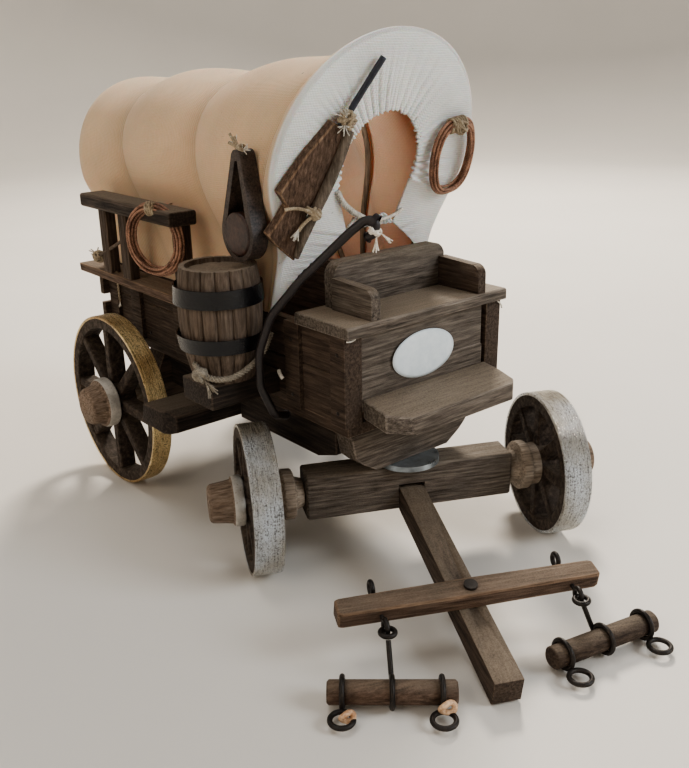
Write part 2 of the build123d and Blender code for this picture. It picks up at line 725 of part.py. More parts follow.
# Half outline of a hub: distance from the wheel's inner face, radius.
front_hub = (
    (-11.4, 5.4), (-8.6, 6.2), (-7.6, 9.3), (-4.0, 9.5), (-3.0, 7.8), (0.0, 8.2), (11.0, 8.2), (11.4, 9.4),
    (14.2, 9.4), (15.0, 8.0), (22.4, 7.2), (23.2, 6.2),
)
rear_hub = (
    (-11.4, 5.4), (-8.6, 6.2), (-7.6, 9.3), (-4.0, 9.5), (-3.0, 7.8), (0.0, 8.8), (8.6, 8.8), (8.9, 10.8),
    (11.6, 10.8), (12.4, 9.2), (19.4, 8.4), (20.2, 7.4),
)
for name, side, steers, radius, tread, inner_face, stub_end in wheels:
    def wheel_plane(out):
        return turned_side(side * out, z=radius) if steers else along(side * out, y=rear_y, z=radius)

    axle_dir = wheel_plane(0).z_dir
    middle = wheel_plane(inner_face + tread / 2)
    with BuildPart() as tyre:
        with BuildSketch(middle):
            Circle(radius)
            Circle(radius - tyre_thick, mode=Mode.SUBTRACT)
        extrude(amount=tread / 2, both=True)
    keep(tyre, "tyre_" + name)

    hub_radius = 8.2 if steers else 8.8
    rim_inside = radius - rim_deep
    with BuildPart() as rim:
        with BuildSketch(middle):
            Circle(radius - tyre_thick)
            Circle(rim_inside, mode=Mode.SUBTRACT)
        extrude(amount=tread / 2, both=True)
        with BuildSketch(middle):
            with PolarLocations(0, spoke_count):
                with BuildLine():
                    Polyline(
                        (hub_radius, -2.3), (rim_inside + 0.4, -1.5), (rim_inside + 0.4, 1.5), (hub_radius, 2.3), close=True
                    )
                make_face()
        extrude(amount=2.0, both=True)
    hub_back = Plane(origin=wheel_plane(inner_face).origin, x_dir=axle_dir * side, z_dir=axle_dir.cross(Vector(0, 0, 1)) * side)
    with BuildPart() as hub:
        with BuildSketch(hub_back):
            with BuildLine():
                outline = front_hub if steers else rear_hub
                Polyline(*((outline[0][0], 0),) + outline + ((outline[-1][0], 0),), close=True)
            make_face()
        revolve(axis=Axis(hub_back.origin, axle_dir))
        with BuildSketch(wheel_plane(inner_face - 15)):
            Circle(stub_radius + running_gap)
        extrude(amount=side * (stub_end + 0.4 - inner_face + 15), mode=Mode.SUBTRACT)
    rim.part = rim.part - hub.part
    keep(rim, "wheel_" + name)
    keep(hub, "hub_" + name)
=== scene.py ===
import bpy
import bmesh
import json
import math
import random
from mathutils import Matrix, Vector, noise

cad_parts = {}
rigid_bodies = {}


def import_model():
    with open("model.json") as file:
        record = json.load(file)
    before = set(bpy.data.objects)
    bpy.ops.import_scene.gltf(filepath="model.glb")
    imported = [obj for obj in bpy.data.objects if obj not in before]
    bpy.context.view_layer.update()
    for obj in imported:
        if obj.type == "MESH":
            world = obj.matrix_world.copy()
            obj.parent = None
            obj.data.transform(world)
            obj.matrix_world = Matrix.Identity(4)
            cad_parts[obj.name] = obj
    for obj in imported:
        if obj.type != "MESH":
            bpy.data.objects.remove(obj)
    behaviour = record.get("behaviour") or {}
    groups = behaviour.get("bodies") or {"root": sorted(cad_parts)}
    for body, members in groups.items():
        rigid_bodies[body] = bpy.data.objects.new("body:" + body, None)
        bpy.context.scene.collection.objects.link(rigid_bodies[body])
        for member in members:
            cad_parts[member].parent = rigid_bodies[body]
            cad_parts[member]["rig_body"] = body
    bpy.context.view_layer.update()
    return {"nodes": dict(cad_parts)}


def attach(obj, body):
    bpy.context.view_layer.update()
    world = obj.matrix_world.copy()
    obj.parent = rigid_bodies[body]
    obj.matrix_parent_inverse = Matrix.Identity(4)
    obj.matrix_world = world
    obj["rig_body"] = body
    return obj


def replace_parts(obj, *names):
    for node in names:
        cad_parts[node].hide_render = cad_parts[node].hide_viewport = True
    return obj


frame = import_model()
scene = bpy.context.scene
mm = 0.001
fullTurn = 2 * math.pi

# where the wagon stands in the frame, in millimetres, and how far its front axle is turned, in degrees
wagon = {"bedX": 9.2, "bedY": -45.9, "kingpinY": 9.9, "rearAxleY": 138.2, "steerTurn": 26.2}


def wagonPoint(x, y, z):
    return Vector((wagon["bedX"] + x, wagon["bedY"] + y, z)) * mm


def steeredPoint(x, y, z):
    turn = math.radians(wagon["steerTurn"])
    across = x * math.cos(turn) + y * math.sin(turn)
    back = -x * math.sin(turn) + y * math.cos(turn)
    return wagonPoint(across, wagon["kingpinY"] + back, z)


def camelName(node):
    first, *others = node.split("_")
    return first + "".join(word.capitalize() for word in others)


def addToScene(name, data):
    made = bpy.data.objects.new(name, data)
    scene.collection.objects.link(made)
    return made


def newPiece(name, verts, faces, finishes, body="wagon", smooth=True):
    mesh = bpy.data.meshes.new(name)
    mesh.from_pydata([tuple(v) for v in verts], [], faces)
    mesh.validate()
    for finish in finishes:
        mesh.materials.append(finish)
    for face in mesh.polygons:
        face.use_smooth = smooth
    piece = addToScene(name, mesh)
    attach(piece, body)
    return piece


def newCurve(name, splines, radius, finish, body="wagon", sides=3):
    curve = bpy.data.curves.new(name, "CURVE")
    curve.dimensions = "3D"
    curve.bevel_depth = radius * mm
    curve.bevel_resolution = sides
    curve.resolution_u = 4
    curve.use_fill_caps = True
    for points in splines:
        spline = curve.splines.new("NURBS")
        spline.points.add(len(points) - 1)
        for place, point in zip(points, spline.points):
            point.co = (*place, 1)
        spline.order_u = 3
        spline.use_endpoint_u = True
    curve.materials.append(finish)
    piece = addToScene(name, curve)
    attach(piece, body)
    return piece


def faceOutwards(piece):
    work = bmesh.new()
    work.from_mesh(piece.data)
    bmesh.ops.recalc_face_normals(work, faces=work.faces)
    work.to_mesh(piece.data)
    work.free()


def ringPairs(start, ring, around):
    # each point of a ring with the one beside it
    first = start + ring * around
    return [(first + step, first + (step + 1) % around) for step in range(around)]


def tubeFaces(start, rings, around, startCap=True):
    # a tube from rings of points that follow each other
    faces = []
    for ring in range(rings - 1):
        faces += [(a, b, b + around, a + around) for a, b in ringPairs(start, ring, around)]
    if startCap:
        faces.append(tuple(start + step for step in reversed(range(around))))
    faces.append(tuple(start + (rings - 1) * around + step for step in range(around)))
    return faces


def discFaces(centre, start, rings, around):
    # a disc from its middle point and the rings round it
    faces = [(centre, a, b) for a, b in ringPairs(start, 0, around)]
    for ring in range(rings - 1):
        faces += [(a, a + around, b + around, b) for a, b in ringPairs(start, ring, around)]
    return faces


def spinFaces(around, count, closed):
    # a turned body from its profile's points, which follow each other round the axle
    faces = []
    for step in range(around):
        a, b = step * count, (step + 1) % around * count
        for k in range(count if closed else count - 1):
            n = (k + 1) % count
            faces.append((a + k, a + n, b + n, b + k))
    if not closed:
        faces.append(tuple(step * count for step in range(around)))
        faces.append(tuple(step * count + count - 1 for step in reversed(range(around))))
    return faces


# camera at the photograph's viewing angle: place in millimetres, turns in degrees
cameraSetup = {"place": (-204.2, -256.3, 179.1), "yaw": 39.80, "pitch": 20.23, "roll": 1.04, "lens": 41.97}


def makeCamera(setup):
    yaw, pitch, roll = (math.radians(setup[k]) for k in ("yaw", "pitch", "roll"))
    ahead = Vector((math.sin(yaw) * math.cos(pitch), math.cos(yaw) * math.cos(pitch), -math.sin(pitch)))
    level = Vector((math.cos(yaw), -math.sin(yaw), 0))
    below = ahead.cross(level)
    right = level * math.cos(roll) + below * math.sin(roll)
    up = level * math.sin(roll) - below * math.cos(roll)
    data = bpy.data.cameras.new("photoCamera")
    data.lens = setup["lens"]
    data.sensor_width = 36
    data.clip_start, data.clip_end = 0.01, 50
    camera = addToScene("photoCamera", data)
    place = Vector(setup["place"]) * mm
    axes = Matrix((right, up, -ahead)).transposed()
    camera.matrix_world = Matrix.Translation(place) @ axes.to_4x4()
    scene.camera = camera


makeCamera(cameraSetup)
print("camera placed")


# finishes
def newFinish(name):
    finish = bpy.data.materials.new(name)
    finish.use_nodes = True
    tree = finish.node_tree
    tree.nodes.clear()
    output = tree.nodes.new("ShaderNodeOutputMaterial")
    shader = tree.nodes.new("ShaderNodeBsdfPrincipled")
    tree.links.new(shader.outputs[0], output.inputs[0])
    return finish, tree, shader


def setSocket(tree, socket, value):
    if isinstance(value, bpy.types.NodeSocket):
        tree.links.new(value, socket)
    else:
        socket.default_value = (*value, 1) if socket.type == "RGBA" and len(value) == 3 else value


def addNode(tree, kind, settings=None, **inputs):
    # inputs by name, or by number as i0, i1 and so on
    node = tree.nodes.new(kind)
    for key, value in (settings or {}).items():
        setattr(node, key, value)
    for key, value in inputs.items():
        numbered = key[0] == "i" and key[1:].isdigit()
        setSocket(tree, node.inputs[int(key[1:]) if numbered else key], value)
    return node


def addRamp(tree, factor, stops):
    ramp = addNode(tree, "ShaderNodeValToRGB", Fac=factor)
    marks = ramp.color_ramp.elements
    while len(marks) < len(stops):
        marks.new(0.5)
    for mark, (place, colour) in zip(marks, stops):
        mark.position = place
        mark.color = (*colour, 1)
    return ramp.outputs[0]


def addMix(tree, factor, first, second, kind="MIX"):
    settings = {"data_type": "RGBA", "blend_type": kind}
    return addNode(tree, "ShaderNodeMix", settings, i0=factor, i6=first, i7=second).outputs[2]


def addMath(tree, kind, first, second=0.0):
    return addNode(tree, "ShaderNodeMath", {"operation": kind}, i0=first, i1=second).outputs[0]


def addTimes(tree, first, second):
    return addMath(tree, "MULTIPLY", first, second)


def addPlus(tree, first, second):
    return addMath(tree, "ADD", first, second)


def addMap(tree, value, span, result=(0.0, 1.0)):
    ends = {"i1": span[0], "i2": span[1], "i3": result[0], "i4": result[1]}
    return addNode(tree, "ShaderNodeMapRange", i0=value, **ends).outputs[0]


def addShade(tree, colour, value):
    grey = addNode(tree, "ShaderNodeCombineColor", i0=value, i1=value, i2=value).outputs[0]
    return addMix(tree, 1.0, colour, grey, "MULTIPLY")


def addNoise(tree, vector, scale, detail=4.0, rough=0.6):
    noiseInputs = {"Vector": vector, "Scale": scale, "Detail": detail, "Roughness": rough}
    return addNode(tree, "ShaderNodeTexNoise", **noiseInputs).outputs[0]


def addStretch(tree, vector, stretch, turn=0.0):
    # turned about the upright axis first, then stretched
    turned = addNode(tree, "ShaderNodeMapping", Vector=vector)
    turned.inputs["Rotation"].default_value = (0, 0, math.radians(turn))
    stretched = addNode(tree, "ShaderNodeMapping", Vector=turned.outputs[0])
    stretched.inputs["Scale"].default_value = stretch
    return stretched.outputs[0]


def objectPlace(tree):
    return addNode(tree, "ShaderNodeTexCoord").outputs["Object"]


def upFacing(tree, low, high):
    normal = addNode(tree, "ShaderNodeNewGeometry").outputs["Normal"]
    return addMap(tree, addNode(tree, "ShaderNodeSeparateXYZ", i0=normal).outputs[2], (low, high))


def finishOff(tree, shader, colour, rough, height, strength, depth):
    bump = addNode(tree, "ShaderNodeBump", Strength=strength, Distance=depth, Height=height)
    for socket, value in (("Base Color", colour), ("Roughness", rough), ("Normal", bump.outputs[0])):
        tree.links.new(value, shader.inputs[socket])


woodTones = {  # dark lines, body, pale fibres
    "old": ((0.020, 0.013, 0.009), (0.062, 0.040, 0.027), (0.125, 0.086, 0.060)),
    "oldEdge": ((0.04, 0.026, 0.017), (0.12, 0.080, 0.054), (0.25, 0.18, 0.125)),
    "grey": ((0.034, 0.026, 0.020), (0.122, 0.097, 0.077), (0.245, 0.205, 0.165)),
    "greyEdge": ((0.06, 0.047, 0.037), (0.20, 0.165, 0.135), (0.38, 0.325, 0.27)),
    "red": ((0.030, 0.017, 0.011), (0.105, 0.063, 0.041), (0.20, 0.132, 0.092)),
    "redEdge": ((0.06, 0.035, 0.02), (0.21, 0.13, 0.08), (0.36, 0.25, 0.165)),
    "black": ((0.008, 0.006, 0.005), (0.028, 0.019, 0.014), (0.07, 0.048, 0.034)),
    "blackEdge": ((0.02, 0.014, 0.010), (0.06, 0.042, 0.03), (0.13, 0.09, 0.065)),
    "stick": ((0.06, 0.045, 0.032), (0.16, 0.125, 0.095), (0.28, 0.23, 0.18)),
    "hubCap": ((0.07, 0.048, 0.034), (0.22, 0.155, 0.11), (0.38, 0.29, 0.22)),
    "wheel": ((0.012, 0.008, 0.006), (0.045, 0.030, 0.021), (0.12, 0.085, 0.06)),
    "barrel": ((0.060, 0.042, 0.030), (0.125, 0.090, 0.066), (0.20, 0.152, 0.114)),
    "pale": ((0.15, 0.11, 0.08), (0.33, 0.265, 0.205), (0.47, 0.40, 0.32)),
    "hoop": ((0.06, 0.04, 0.025), (0.17, 0.115, 0.07), (0.28, 0.20, 0.13)),
}
woodLook = {
    "dust": (0.33, 0.265, 0.195), "blotchScale": 75.0, "speckScale": 1900.0, "grainShare": 0.72,
    "scratches": 0.35, "grime": 0.55, "bump": 0.75, "bumpDepth": 0.0005, "specular": 0.35,
}
grainStretch = {"x": (70, 1100, 1100), "y": (1100, 70, 1100), "z": (1100, 1100, 70), "none": (500, 500, 500)}
madeFinishes = {}


def woodFinish(tone, axis="x", turn=0.0, dust=0.5):
    # grain runs along the axis, and dust lies on what faces up
    name = "wood_" + tone + "_" + axis + ("_turned" if turn else "") + "_" + str(round(dust * 100))
    if name in madeFinishes:
        return madeFinishes[name]
    look = woodLook
    finish, tree, shader = newFinish(name)
    place = objectPlace(tree)
    grain = addNoise(tree, addStretch(tree, place, grainStretch[axis], turn), 1.0, 8.0, 0.68)
    blotch = addNoise(tree, place, look["blotchScale"])
    speck = addNoise(tree, place, look["speckScale"], 3.0, 0.7)
    dark, body, pale = woodTones[tone]
    grainPart = addTimes(tree, grain, look["grainShare"])
    figure = addPlus(tree, grainPart, addTimes(tree, blotch, 1 - look["grainShare"]))
    colour = addRamp(tree, figure, ((0.36, dark), (0.49, body), (0.63, pale)))
    scratches = addMap(tree, speck, (0.62, 0.78), (0.0, look["scratches"]))
    colour = addMix(tree, scratches, colour, tuple(c * 1.5 + 0.03 for c in pale))
    colour = addShade(tree, colour, addMap(tree, blotch, (0.40, 0.66), (1.0, look["grime"])))
    patchy = addMap(tree, speck, (0.30, 0.62), (0.35, 1.0))
    settled = addTimes(tree, addTimes(tree, upFacing(tree, 0.45, 0.98), patchy), dust)
    colour = addMix(tree, settled, colour, look["dust"])
    rough = addMap(tree, grain, (0.3, 0.7), (0.88, 0.62))
    height = addPlus(tree, grain, addTimes(tree, speck, 0.45))
    finishOff(tree, shader, colour, rough, height, look["bump"], look["bumpDepth"])
    shader.inputs["Specular IOR Level"].default_value = look["specular"]
    madeFinishes[name] = finish
    return finish


def metalFinish(name, colour, worn, rough, metallic, wear, bumpy):
    # painted or bare iron, worn in small spots
    finish, tree, shader = newFinish(name)
    place = objectPlace(tree)
    fine = addNoise(tree, place, 1400.0, 4.0, 0.65)
    wide = addNoise(tree, place, 160.0, 3.0)
    base = addMix(tree, addMap(tree, wide, (0.35, 0.65)), colour, tuple(c * 1.8 for c in colour))
    spots = addMap(tree, fine, (0.56, 0.70), (0.0, wear))
    roughness = addMap(tree, wide, (0.3, 0.7), (rough * 0.8, rough * 1.35))
    colour = addMix(tree, spots, base, worn)
    finishOff(tree, shader, colour, roughness, addPlus(tree, fine, wide), bumpy, 0.0002)
    shader.inputs["Metallic"].default_value = metallic
    return finish


def foilFinish(name, bright, warm, dull):
    # brushed foil paint: fine streaks round the tread, from the stored wheel place
    finish, tree, shader = newFinish(name)
    place = addNode(tree, "ShaderNodeAttribute", {"attribute_name": "wheelPlace"}).outputs["Vector"]
    streaks = addNoise(tree, addStretch(tree, place, (90, 90, 2600)), 1.0, 6.0, 0.7)
    specks = addNoise(tree, place, 1500.0, 4.0, 0.7)
    patches = addNoise(tree, place, 45.0, 3.0, 0.55)
    colour = addMix(tree, addMap(tree, patches, (0.38, 0.62)), bright, warm)
    gaps = addMap(tree, addTimes(tree, streaks, specks), (0.17, 0.24), (0.8, 0.0))
    rough = addMap(tree, streaks, (0.3, 0.7), (0.42, 0.20))
    height = addPlus(tree, streaks, addTimes(tree, specks, 0.8))
    finishOff(tree, shader, addMix(tree, gaps, colour, dull), rough, height, 1.0, 0.0011)
    shader.inputs["Metallic"].default_value = 0.85
    return finish


# front is the canvas colour with painted front light, side is the same canvas with painted warm reflected
# light
clothLook = {
    "front": (0.82, 0.82, 0.80), "side": (0.66, 0.47, 0.295), "speck": (0.10, 0.075, 0.055),
    "threads": ((0, 0.62, 3.0), (1, 0.78, 4.0)),  # direction on the flat map, pitch in millimetres, drift
    "sheen": 0.25, "specular": 0.15, "glow": 0.35, "glowDepth": 0.002, "bump": 0.55,
}


def threadWave(tree, along, pitch, drift):
    return addMath(tree, "SINE", addPlus(tree, addTimes(tree, along, fullTurn / pitch), drift))


def clothFinish(name, look):
    # plain weave from the cloth's own flat map, whiter with painted front light and darker with painted
    # shade in its creases, where the stored tones say so
    finish, tree, shader = newFinish(name)
    flat = addNode(tree, "ShaderNodeUVMap", {"uv_map": "flatMap"}).outputs[0]
    tone, creaseShadeShare = (
        addNode(tree, "ShaderNodeAttribute", {"attribute_name": kept}).outputs["Fac"]
        for kept in ("frontTone", "paintedCreaseShade")
    )
    place = objectPlace(tree)
    split = addNode(tree, "ShaderNodeSeparateXYZ", i0=flat)
    wobble = addNoise(tree, flat, 0.35, 2.0, 0.5)
    warp, weft = (
        threadWave(tree, split.outputs[way], pitch, addTimes(tree, wobble, drift))
        for way, pitch, drift in look["threads"]
    )
    slub = addNoise(tree, addStretch(tree, flat, (0.25, 2.2, 1)), 1.0)
    mottle = addNoise(tree, place, 30.0, 4.0, 0.55)
    fleck = addNoise(tree, place, 420.0, 2.0, 0.5)
    # painted light: whiter where the front light is painted, tan with painted warm reflection elsewhere
    colour = addMix(tree, tone, look["side"], look["front"])
    # painted shade darkens the cloth along the valleys between the bows
    colour = addMix(tree, addTimes(tree, creaseShadeShare, 0.5), colour, tuple(c * 0.62 for c in look["side"]))
    shade = addMap(tree, mottle, (0.3, 0.7), (0.86, 1.05))
    thread = addMap(tree, addPlus(tree, weft, addTimes(tree, warp, 0.6)), (-1.6, 1.2), (0.86, 1.03))
    slubs = addMap(tree, slub, (0.3, 0.7), (0.95, 1.04))
    colour = addShade(tree, colour, addTimes(tree, addTimes(tree, shade, thread), slubs))
    colour = addMix(tree, addMap(tree, fleck, (0.74, 0.80), (0.0, 0.7)), colour, look["speck"])
    rough = addMap(tree, slub, (0.3, 0.7), (0.98, 0.86))
    height = addPlus(tree, addPlus(tree, weft, addTimes(tree, warp, 0.7)), addTimes(tree, slub, 2.0))
    finishOff(tree, shader, colour, rough, height, look["bump"], 0.00012)
    shader.inputs["Specular IOR Level"].default_value = look["specular"]
    shader.inputs["Sheen Weight"].default_value = look["sheen"]
    shader.inputs["Subsurface Weight"].default_value = look["glow"]
    shader.inputs["Subsurface Scale"].default_value = look["glowDepth"]
    return finish


def fibreFinish(name, dark, pale, scale=2600.0, rough=0.9):
    finish, tree, shader = newFinish(name)
    place = objectPlace(tree)
    fine = addNoise(tree, place, scale, 3.0, 0.7)
    wide = addNoise(tree, place, scale * 0.12, 3.0)
    factor = addPlus(tree, addTimes(tree, fine, 0.6), addTimes(tree, wide, 0.4))
    colour = addRamp(tree, factor, ((0.38, dark), (0.60, pale)))
    finishOff(tree, shader, colour, addMap(tree, fine, (0.0, 1.0), (rough, rough * 0.85)), fine, 0.6, 0.0002)
    return finish


# metals: colour, worn spots, roughness, how metallic, wear, bump
ironFinish = metalFinish("ironWire", (0.018, 0.015, 0.013), (0.10, 0.065, 0.045), 0.42, 0.5, 0.5, 0.5)
leverFinish = metalFinish("leverRod", (0.012, 0.009, 0.009), (0.09, 0.06, 0.045), 0.36, 0.1, 0.35, 0.5)
bandFinish = metalFinish("bandPaint", (0.002, 0.002, 0.003), (0.04, 0.04, 0.045), 0.22, 0.0, 0.25, 0.8)
plateFinish = metalFinish("plateSteel", (0.25, 0.28, 0.30), (0.42, 0.46, 0.48), 0.30, 0.8, 0.5, 0.3)
flangeFinish = metalFinish("hubFlange", (0.30, 0.28, 0.25), (0.13, 0.10, 0.07), 0.55, 0.0, 0.7, 0.7)
rifleFinish = metalFinish("rifleSteel", (0.014, 0.015, 0.022), (0.08, 0.08, 0.09), 0.38, 0.2, 0.35, 0.4)
frontFoil = foilFinish("foilFront", (0.74, 0.78, 0.82), (0.46, 0.42, 0.35), (0.05, 0.04, 0.033))
# the rear foil's gold tone is a painted warm reflection on silver foil
rearFoilPaintedGold = foilFinish("foilRear", (0.86, 0.68, 0.38), (0.42, 0.27, 0.12), (0.035, 0.024, 0.014))
# cloth, twines and the like: dark and pale fibres, and where they differ the scale and roughness
coverFinish = clothFinish("canvas", clothLook)
ropeFinish = fibreFinish("ropeTwine", (0.10, 0.085, 0.065), (0.34, 0.30, 0.24))
twineFinish = fibreFinish("twine", (0.16, 0.115, 0.07), (0.46, 0.38, 0.27))
paleTwineFinish = fibreFinish("paleTwine", (0.34, 0.31, 0.26), (0.74, 0.71, 0.64))
whiteStringFinish = fibreFinish("whiteString", (0.55, 0.50, 0.42), (0.88, 0.84, 0.76))
lariatFinish = fibreFinish("lariatCord", (0.075, 0.030, 0.017), (0.44, 0.24, 0.155), 2300.0, 0.7)
strapFinish = fibreFinish("barkStrap", (0.004, 0.003, 0.003), (0.075, 0.052, 0.042), 1500.0, 0.5)
leatherFinish = fibreFinish("leatherBits", (0.42, 0.22, 0.11), (0.78, 0.55, 0.36), 900.0, 0.6)
labelFinish = fibreFinish("labelPaper", (0.66, 0.73, 0.77), (0.76, 0.82, 0.85), 300.0, 0.4)
canteenFinish = fibreFinish("canteenFace", (0.014, 0.006, 0.005), (0.055, 0.024, 0.017), 500.0, 0.35)
wheelWood = woodFinish("wheel", "none", 0.0, 0.15)
print("finishes made")


# the cloth top's outline, in planes that lean as its bows do
bowShapes = (  # foot y, crest y, crest z, half width; the cloth sags at every second one
    (42.0, 12.0, 187.4, 45.3), (43.5, 25.0, 180.6, 43.6), (48.0, 60.0, 178.6, 43.8),
    (56.0, 96.0, 172.4, 41.2), (82.0, 128.0, 174.6, 43.6), (108.0, 156.0, 169.6, 40.8),
    (157.0, 188.0, 171.0, 42.8),
)
coverShape = {"footZ": 93.2, "footHalf": 36.6, "knee": 18.0, "inset": 0.55, "thick": 0.8}


def onBow(bow, x, up, out=0.0):
    # a point in a bow's own plane: x to the left-hand side, up from its foot, out towards the front
    footY, crestY, crestZ = bow[:3]
    rise = Vector((0, crestY - footY, crestZ - coverShape["footZ"])).normalized()
    front = Vector((1, 0, 0)).cross(rise)
    place = Vector((x, footY, coverShape["footZ"])) + rise * up + front * out
    return wagonPoint(*place)


def hoodPoint(x, up, out=0.0):
    return onBow(bowShapes[0], x, up, out)


# cords: the two lariats, each a neat coil tied at its top
hoodUp = (hoodPoint(0, 10) - hoodPoint(0, 0)).normalized()
hoodOut = (hoodPoint(0, 0, 10) - hoodPoint(0, 0, 0)).normalized()
frontTurn = math.radians(9)
lariats = {  # turns: each one's place across and out of the bundle
    "front": {
        "cord": 1.0, "straight": 8.4, "endRadius": 9.2, "seed": 5, "origin": hoodPoint(33.9, 53.5, 3.9),
        "xDir": Vector((1, 0, 0)) * math.cos(frontTurn) + hoodUp * math.sin(frontTurn),
        "yDir": hoodUp * math.cos(frontTurn) - Vector((1, 0, 0)) * math.sin(frontTurn),
        "turns": (
            (-1.4, -0.9), (-0.3, -1.3), (0.8, -1.0), (1.6, -0.2), (-0.7, 0.2), (0.6, 0.6),
            (-0.2, 1.4), (-1.2, 1.1),
        ),
    },
    "rear": {
        "cord": 1.0, "straight": 0.6, "endRadius": 11.8, "seed": 9, "origin": wagonPoint(-54.5, 89.0, 115.4),
        "xDir": Vector((0.35, -0.937, 0)).normalized(), "yDir": Vector((0, 0, 1)),
        "turns": (
            (-1.5, -0.8), (-0.4, -1.4), (0.8, -1.2), (1.7, -0.3), (-0.8, 0.3), (0.5, 0.3),
            (1.2, 1.0), (-0.1, 1.5), (-1.3, 1.3),
        ),
    },
}
coilShape = {"perTurn": 18, "fan": 0.35, "loose": 0.12}


def easeIn(share):
    return share * share * (3 - 2 * share)


def coilPoints(lariat):
    # each turn moves over to the next one's place in the bundle; loose turns differ a little in size
    draw = random.Random(lariat["seed"])
    xDir, yDir, turns = lariat["xDir"], lariat["yDir"], lariat["turns"]
    normal = xDir.cross(yDir)
    perTurn = coilShape["perTurn"]
    points = []
    for step in range((len(turns) - 1) * perTurn + 1):
        turn, share = divmod(step, perTurn)
        share = share / perTurn
        here, there = turns[turn], turns[min(turn + 1, len(turns) - 1)]
        out, lift = (a + (b - a) * easeIn(share) for a, b in zip(here, there))
        angle = math.pi / 2 + share * fullTurn
        out += max(-math.sin(angle), 0) * coilShape["fan"] * out  # the turns fan out at the bottom
        reach = lariat["endRadius"] + out + coilShape["loose"] * draw.uniform(-1, 1)
        half = lariat["straight"] / 2 * max(-1, min(1, 1.6 * math.sin(angle)))
        flat = xDir * (reach * math.cos(angle)) + yDir * (reach * math.sin(angle) + half)
        points.append(lariat["origin"] + (flat + normal * lift) * mm)
    return points


def routeLength(points):
    return sum((b - a).length for a, b in zip(points, points[1:]))


for name, lariat in lariats.items():
    route = coilPoints(lariat)
    coil = newCurve("lariat" + name.capitalize(), [route], lariat["cord"] / 2, lariatFinish)
    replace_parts(coil, "lariat_" + name)
    tuple(route[0])
    round(routeLength(route), 3)
print("lariats coiled")


# stage and light
stageSetup = {
    "radius": 1.9, "bend": 0.6, "wall": 1.6, "middle": 0.5, "around": 96, "tone": (0.74, 0.70, 0.64),
}


def makeStage(setup):
    # a pale floor that bends up into a wall all round
    radius, bend, around = setup["radius"], setup["bend"], setup["around"]
    profile = [(setup["middle"], 0.0), (radius - bend, 0.0)]
    for step in range(1, 9):
        angle = step / 8 * math.pi / 2
        profile.append((radius - bend + bend * math.sin(angle), bend * (1 - math.cos(angle))))
    profile.append((radius, bend + setup["wall"]))
    verts = []
    for out, up in profile:
        for step in range(around):
            angle = step / around * fullTurn
            verts.append((out * math.cos(angle), out * math.sin(angle), up))
    centre = len(verts)
    verts.append((0, 0, 0))
    mesh = bpy.data.meshes.new("studioFloor")
    mesh.from_pydata(verts, [], discFaces(centre, 0, len(profile), around))
    for face in mesh.polygons:
        face.use_smooth = True
    finish, tree, shader = newFinish("studioPaper")
    soft = addNoise(tree, objectPlace(tree), 6.0, 3.0, 0.5)
    tones = ((0.3, setup["tone"]), (0.7, tuple(c * 1.04 for c in setup["tone"])))
    tree.links.new(addRamp(tree, soft, tones), shader.inputs["Base Color"])
    shader.inputs["Roughness"].default_value = 0.85
    mesh.materials.append(finish)
    addToScene("studioFloor", mesh)


def addLamp(name, place, aim, size, power, colour):
    data = bpy.data.lights.new(name, "AREA")
    data.shape = "DISK"
    data.size = size
    data.energy = power
    data.color = colour
    lamp = addToScene(name, data)
    lamp.location = place
    lamp.rotation_mode = "QUATERNION"
    lamp.rotation_quaternion = (Vector(place) - Vector(aim)).to_track_quat("Z", "Y")


makeStage(stageSetup)
middle = (0, 0, 0.06)
lamps = (  # name, place, aim, size, power, colour
    ("keyLamp", (0.80, 0.62, 0.95), middle, 0.32, 20.0, (1.0, 0.93, 0.84)),
    ("frontLamp", (0.55, -1.05, 0.70), middle, 0.6, 9.0, (0.86, 0.93, 1.0)),
    ("sideLamp", (-1.15, -0.15, 0.75), middle, 0.8, 3.6, (1.0, 0.93, 0.86)),
    ("topLamp", (-0.15, 0.25, 1.4), middle, 0.9, 5.0, (1.0, 0.98, 0.95)),
    ("insideLamp", wagonPoint(0, 55, 160), wagonPoint(4, 160, 120), 0.02, 0.031, (0.93, 0.95, 1.0)),
)
for lamp in lamps:
    addLamp(*lamp)
roomLight = {"tone": (0.80, 0.82, 0.86, 1), "strength": 0.22}
world = bpy.data.worlds.new("softRoom")
world.use_nodes = True
background = world.node_tree.nodes["Background"]
background.inputs[0].default_value = roomLight["tone"]
background.inputs[1].default_value = roomLight["strength"]
scene.world = world
scene.view_settings.view_transform = "AgX"
scene.view_settings.look = "AgX - Medium High Contrast"
scene.view_settings.exposure = -0.1
print("stage and lamps set")


# wood, carved from the frame's own pieces with worn edges
carveLook = {"sharpFrom": 38, "chips": 0.16, "chipScale": 260, "profile": 0.6, "edgeDust": 0.5}
otherNames = {
    "tailboard": "tailBoards", "footboard": "footBoard", "tongue": "tonguePole", "evener": "evenerBar",
}


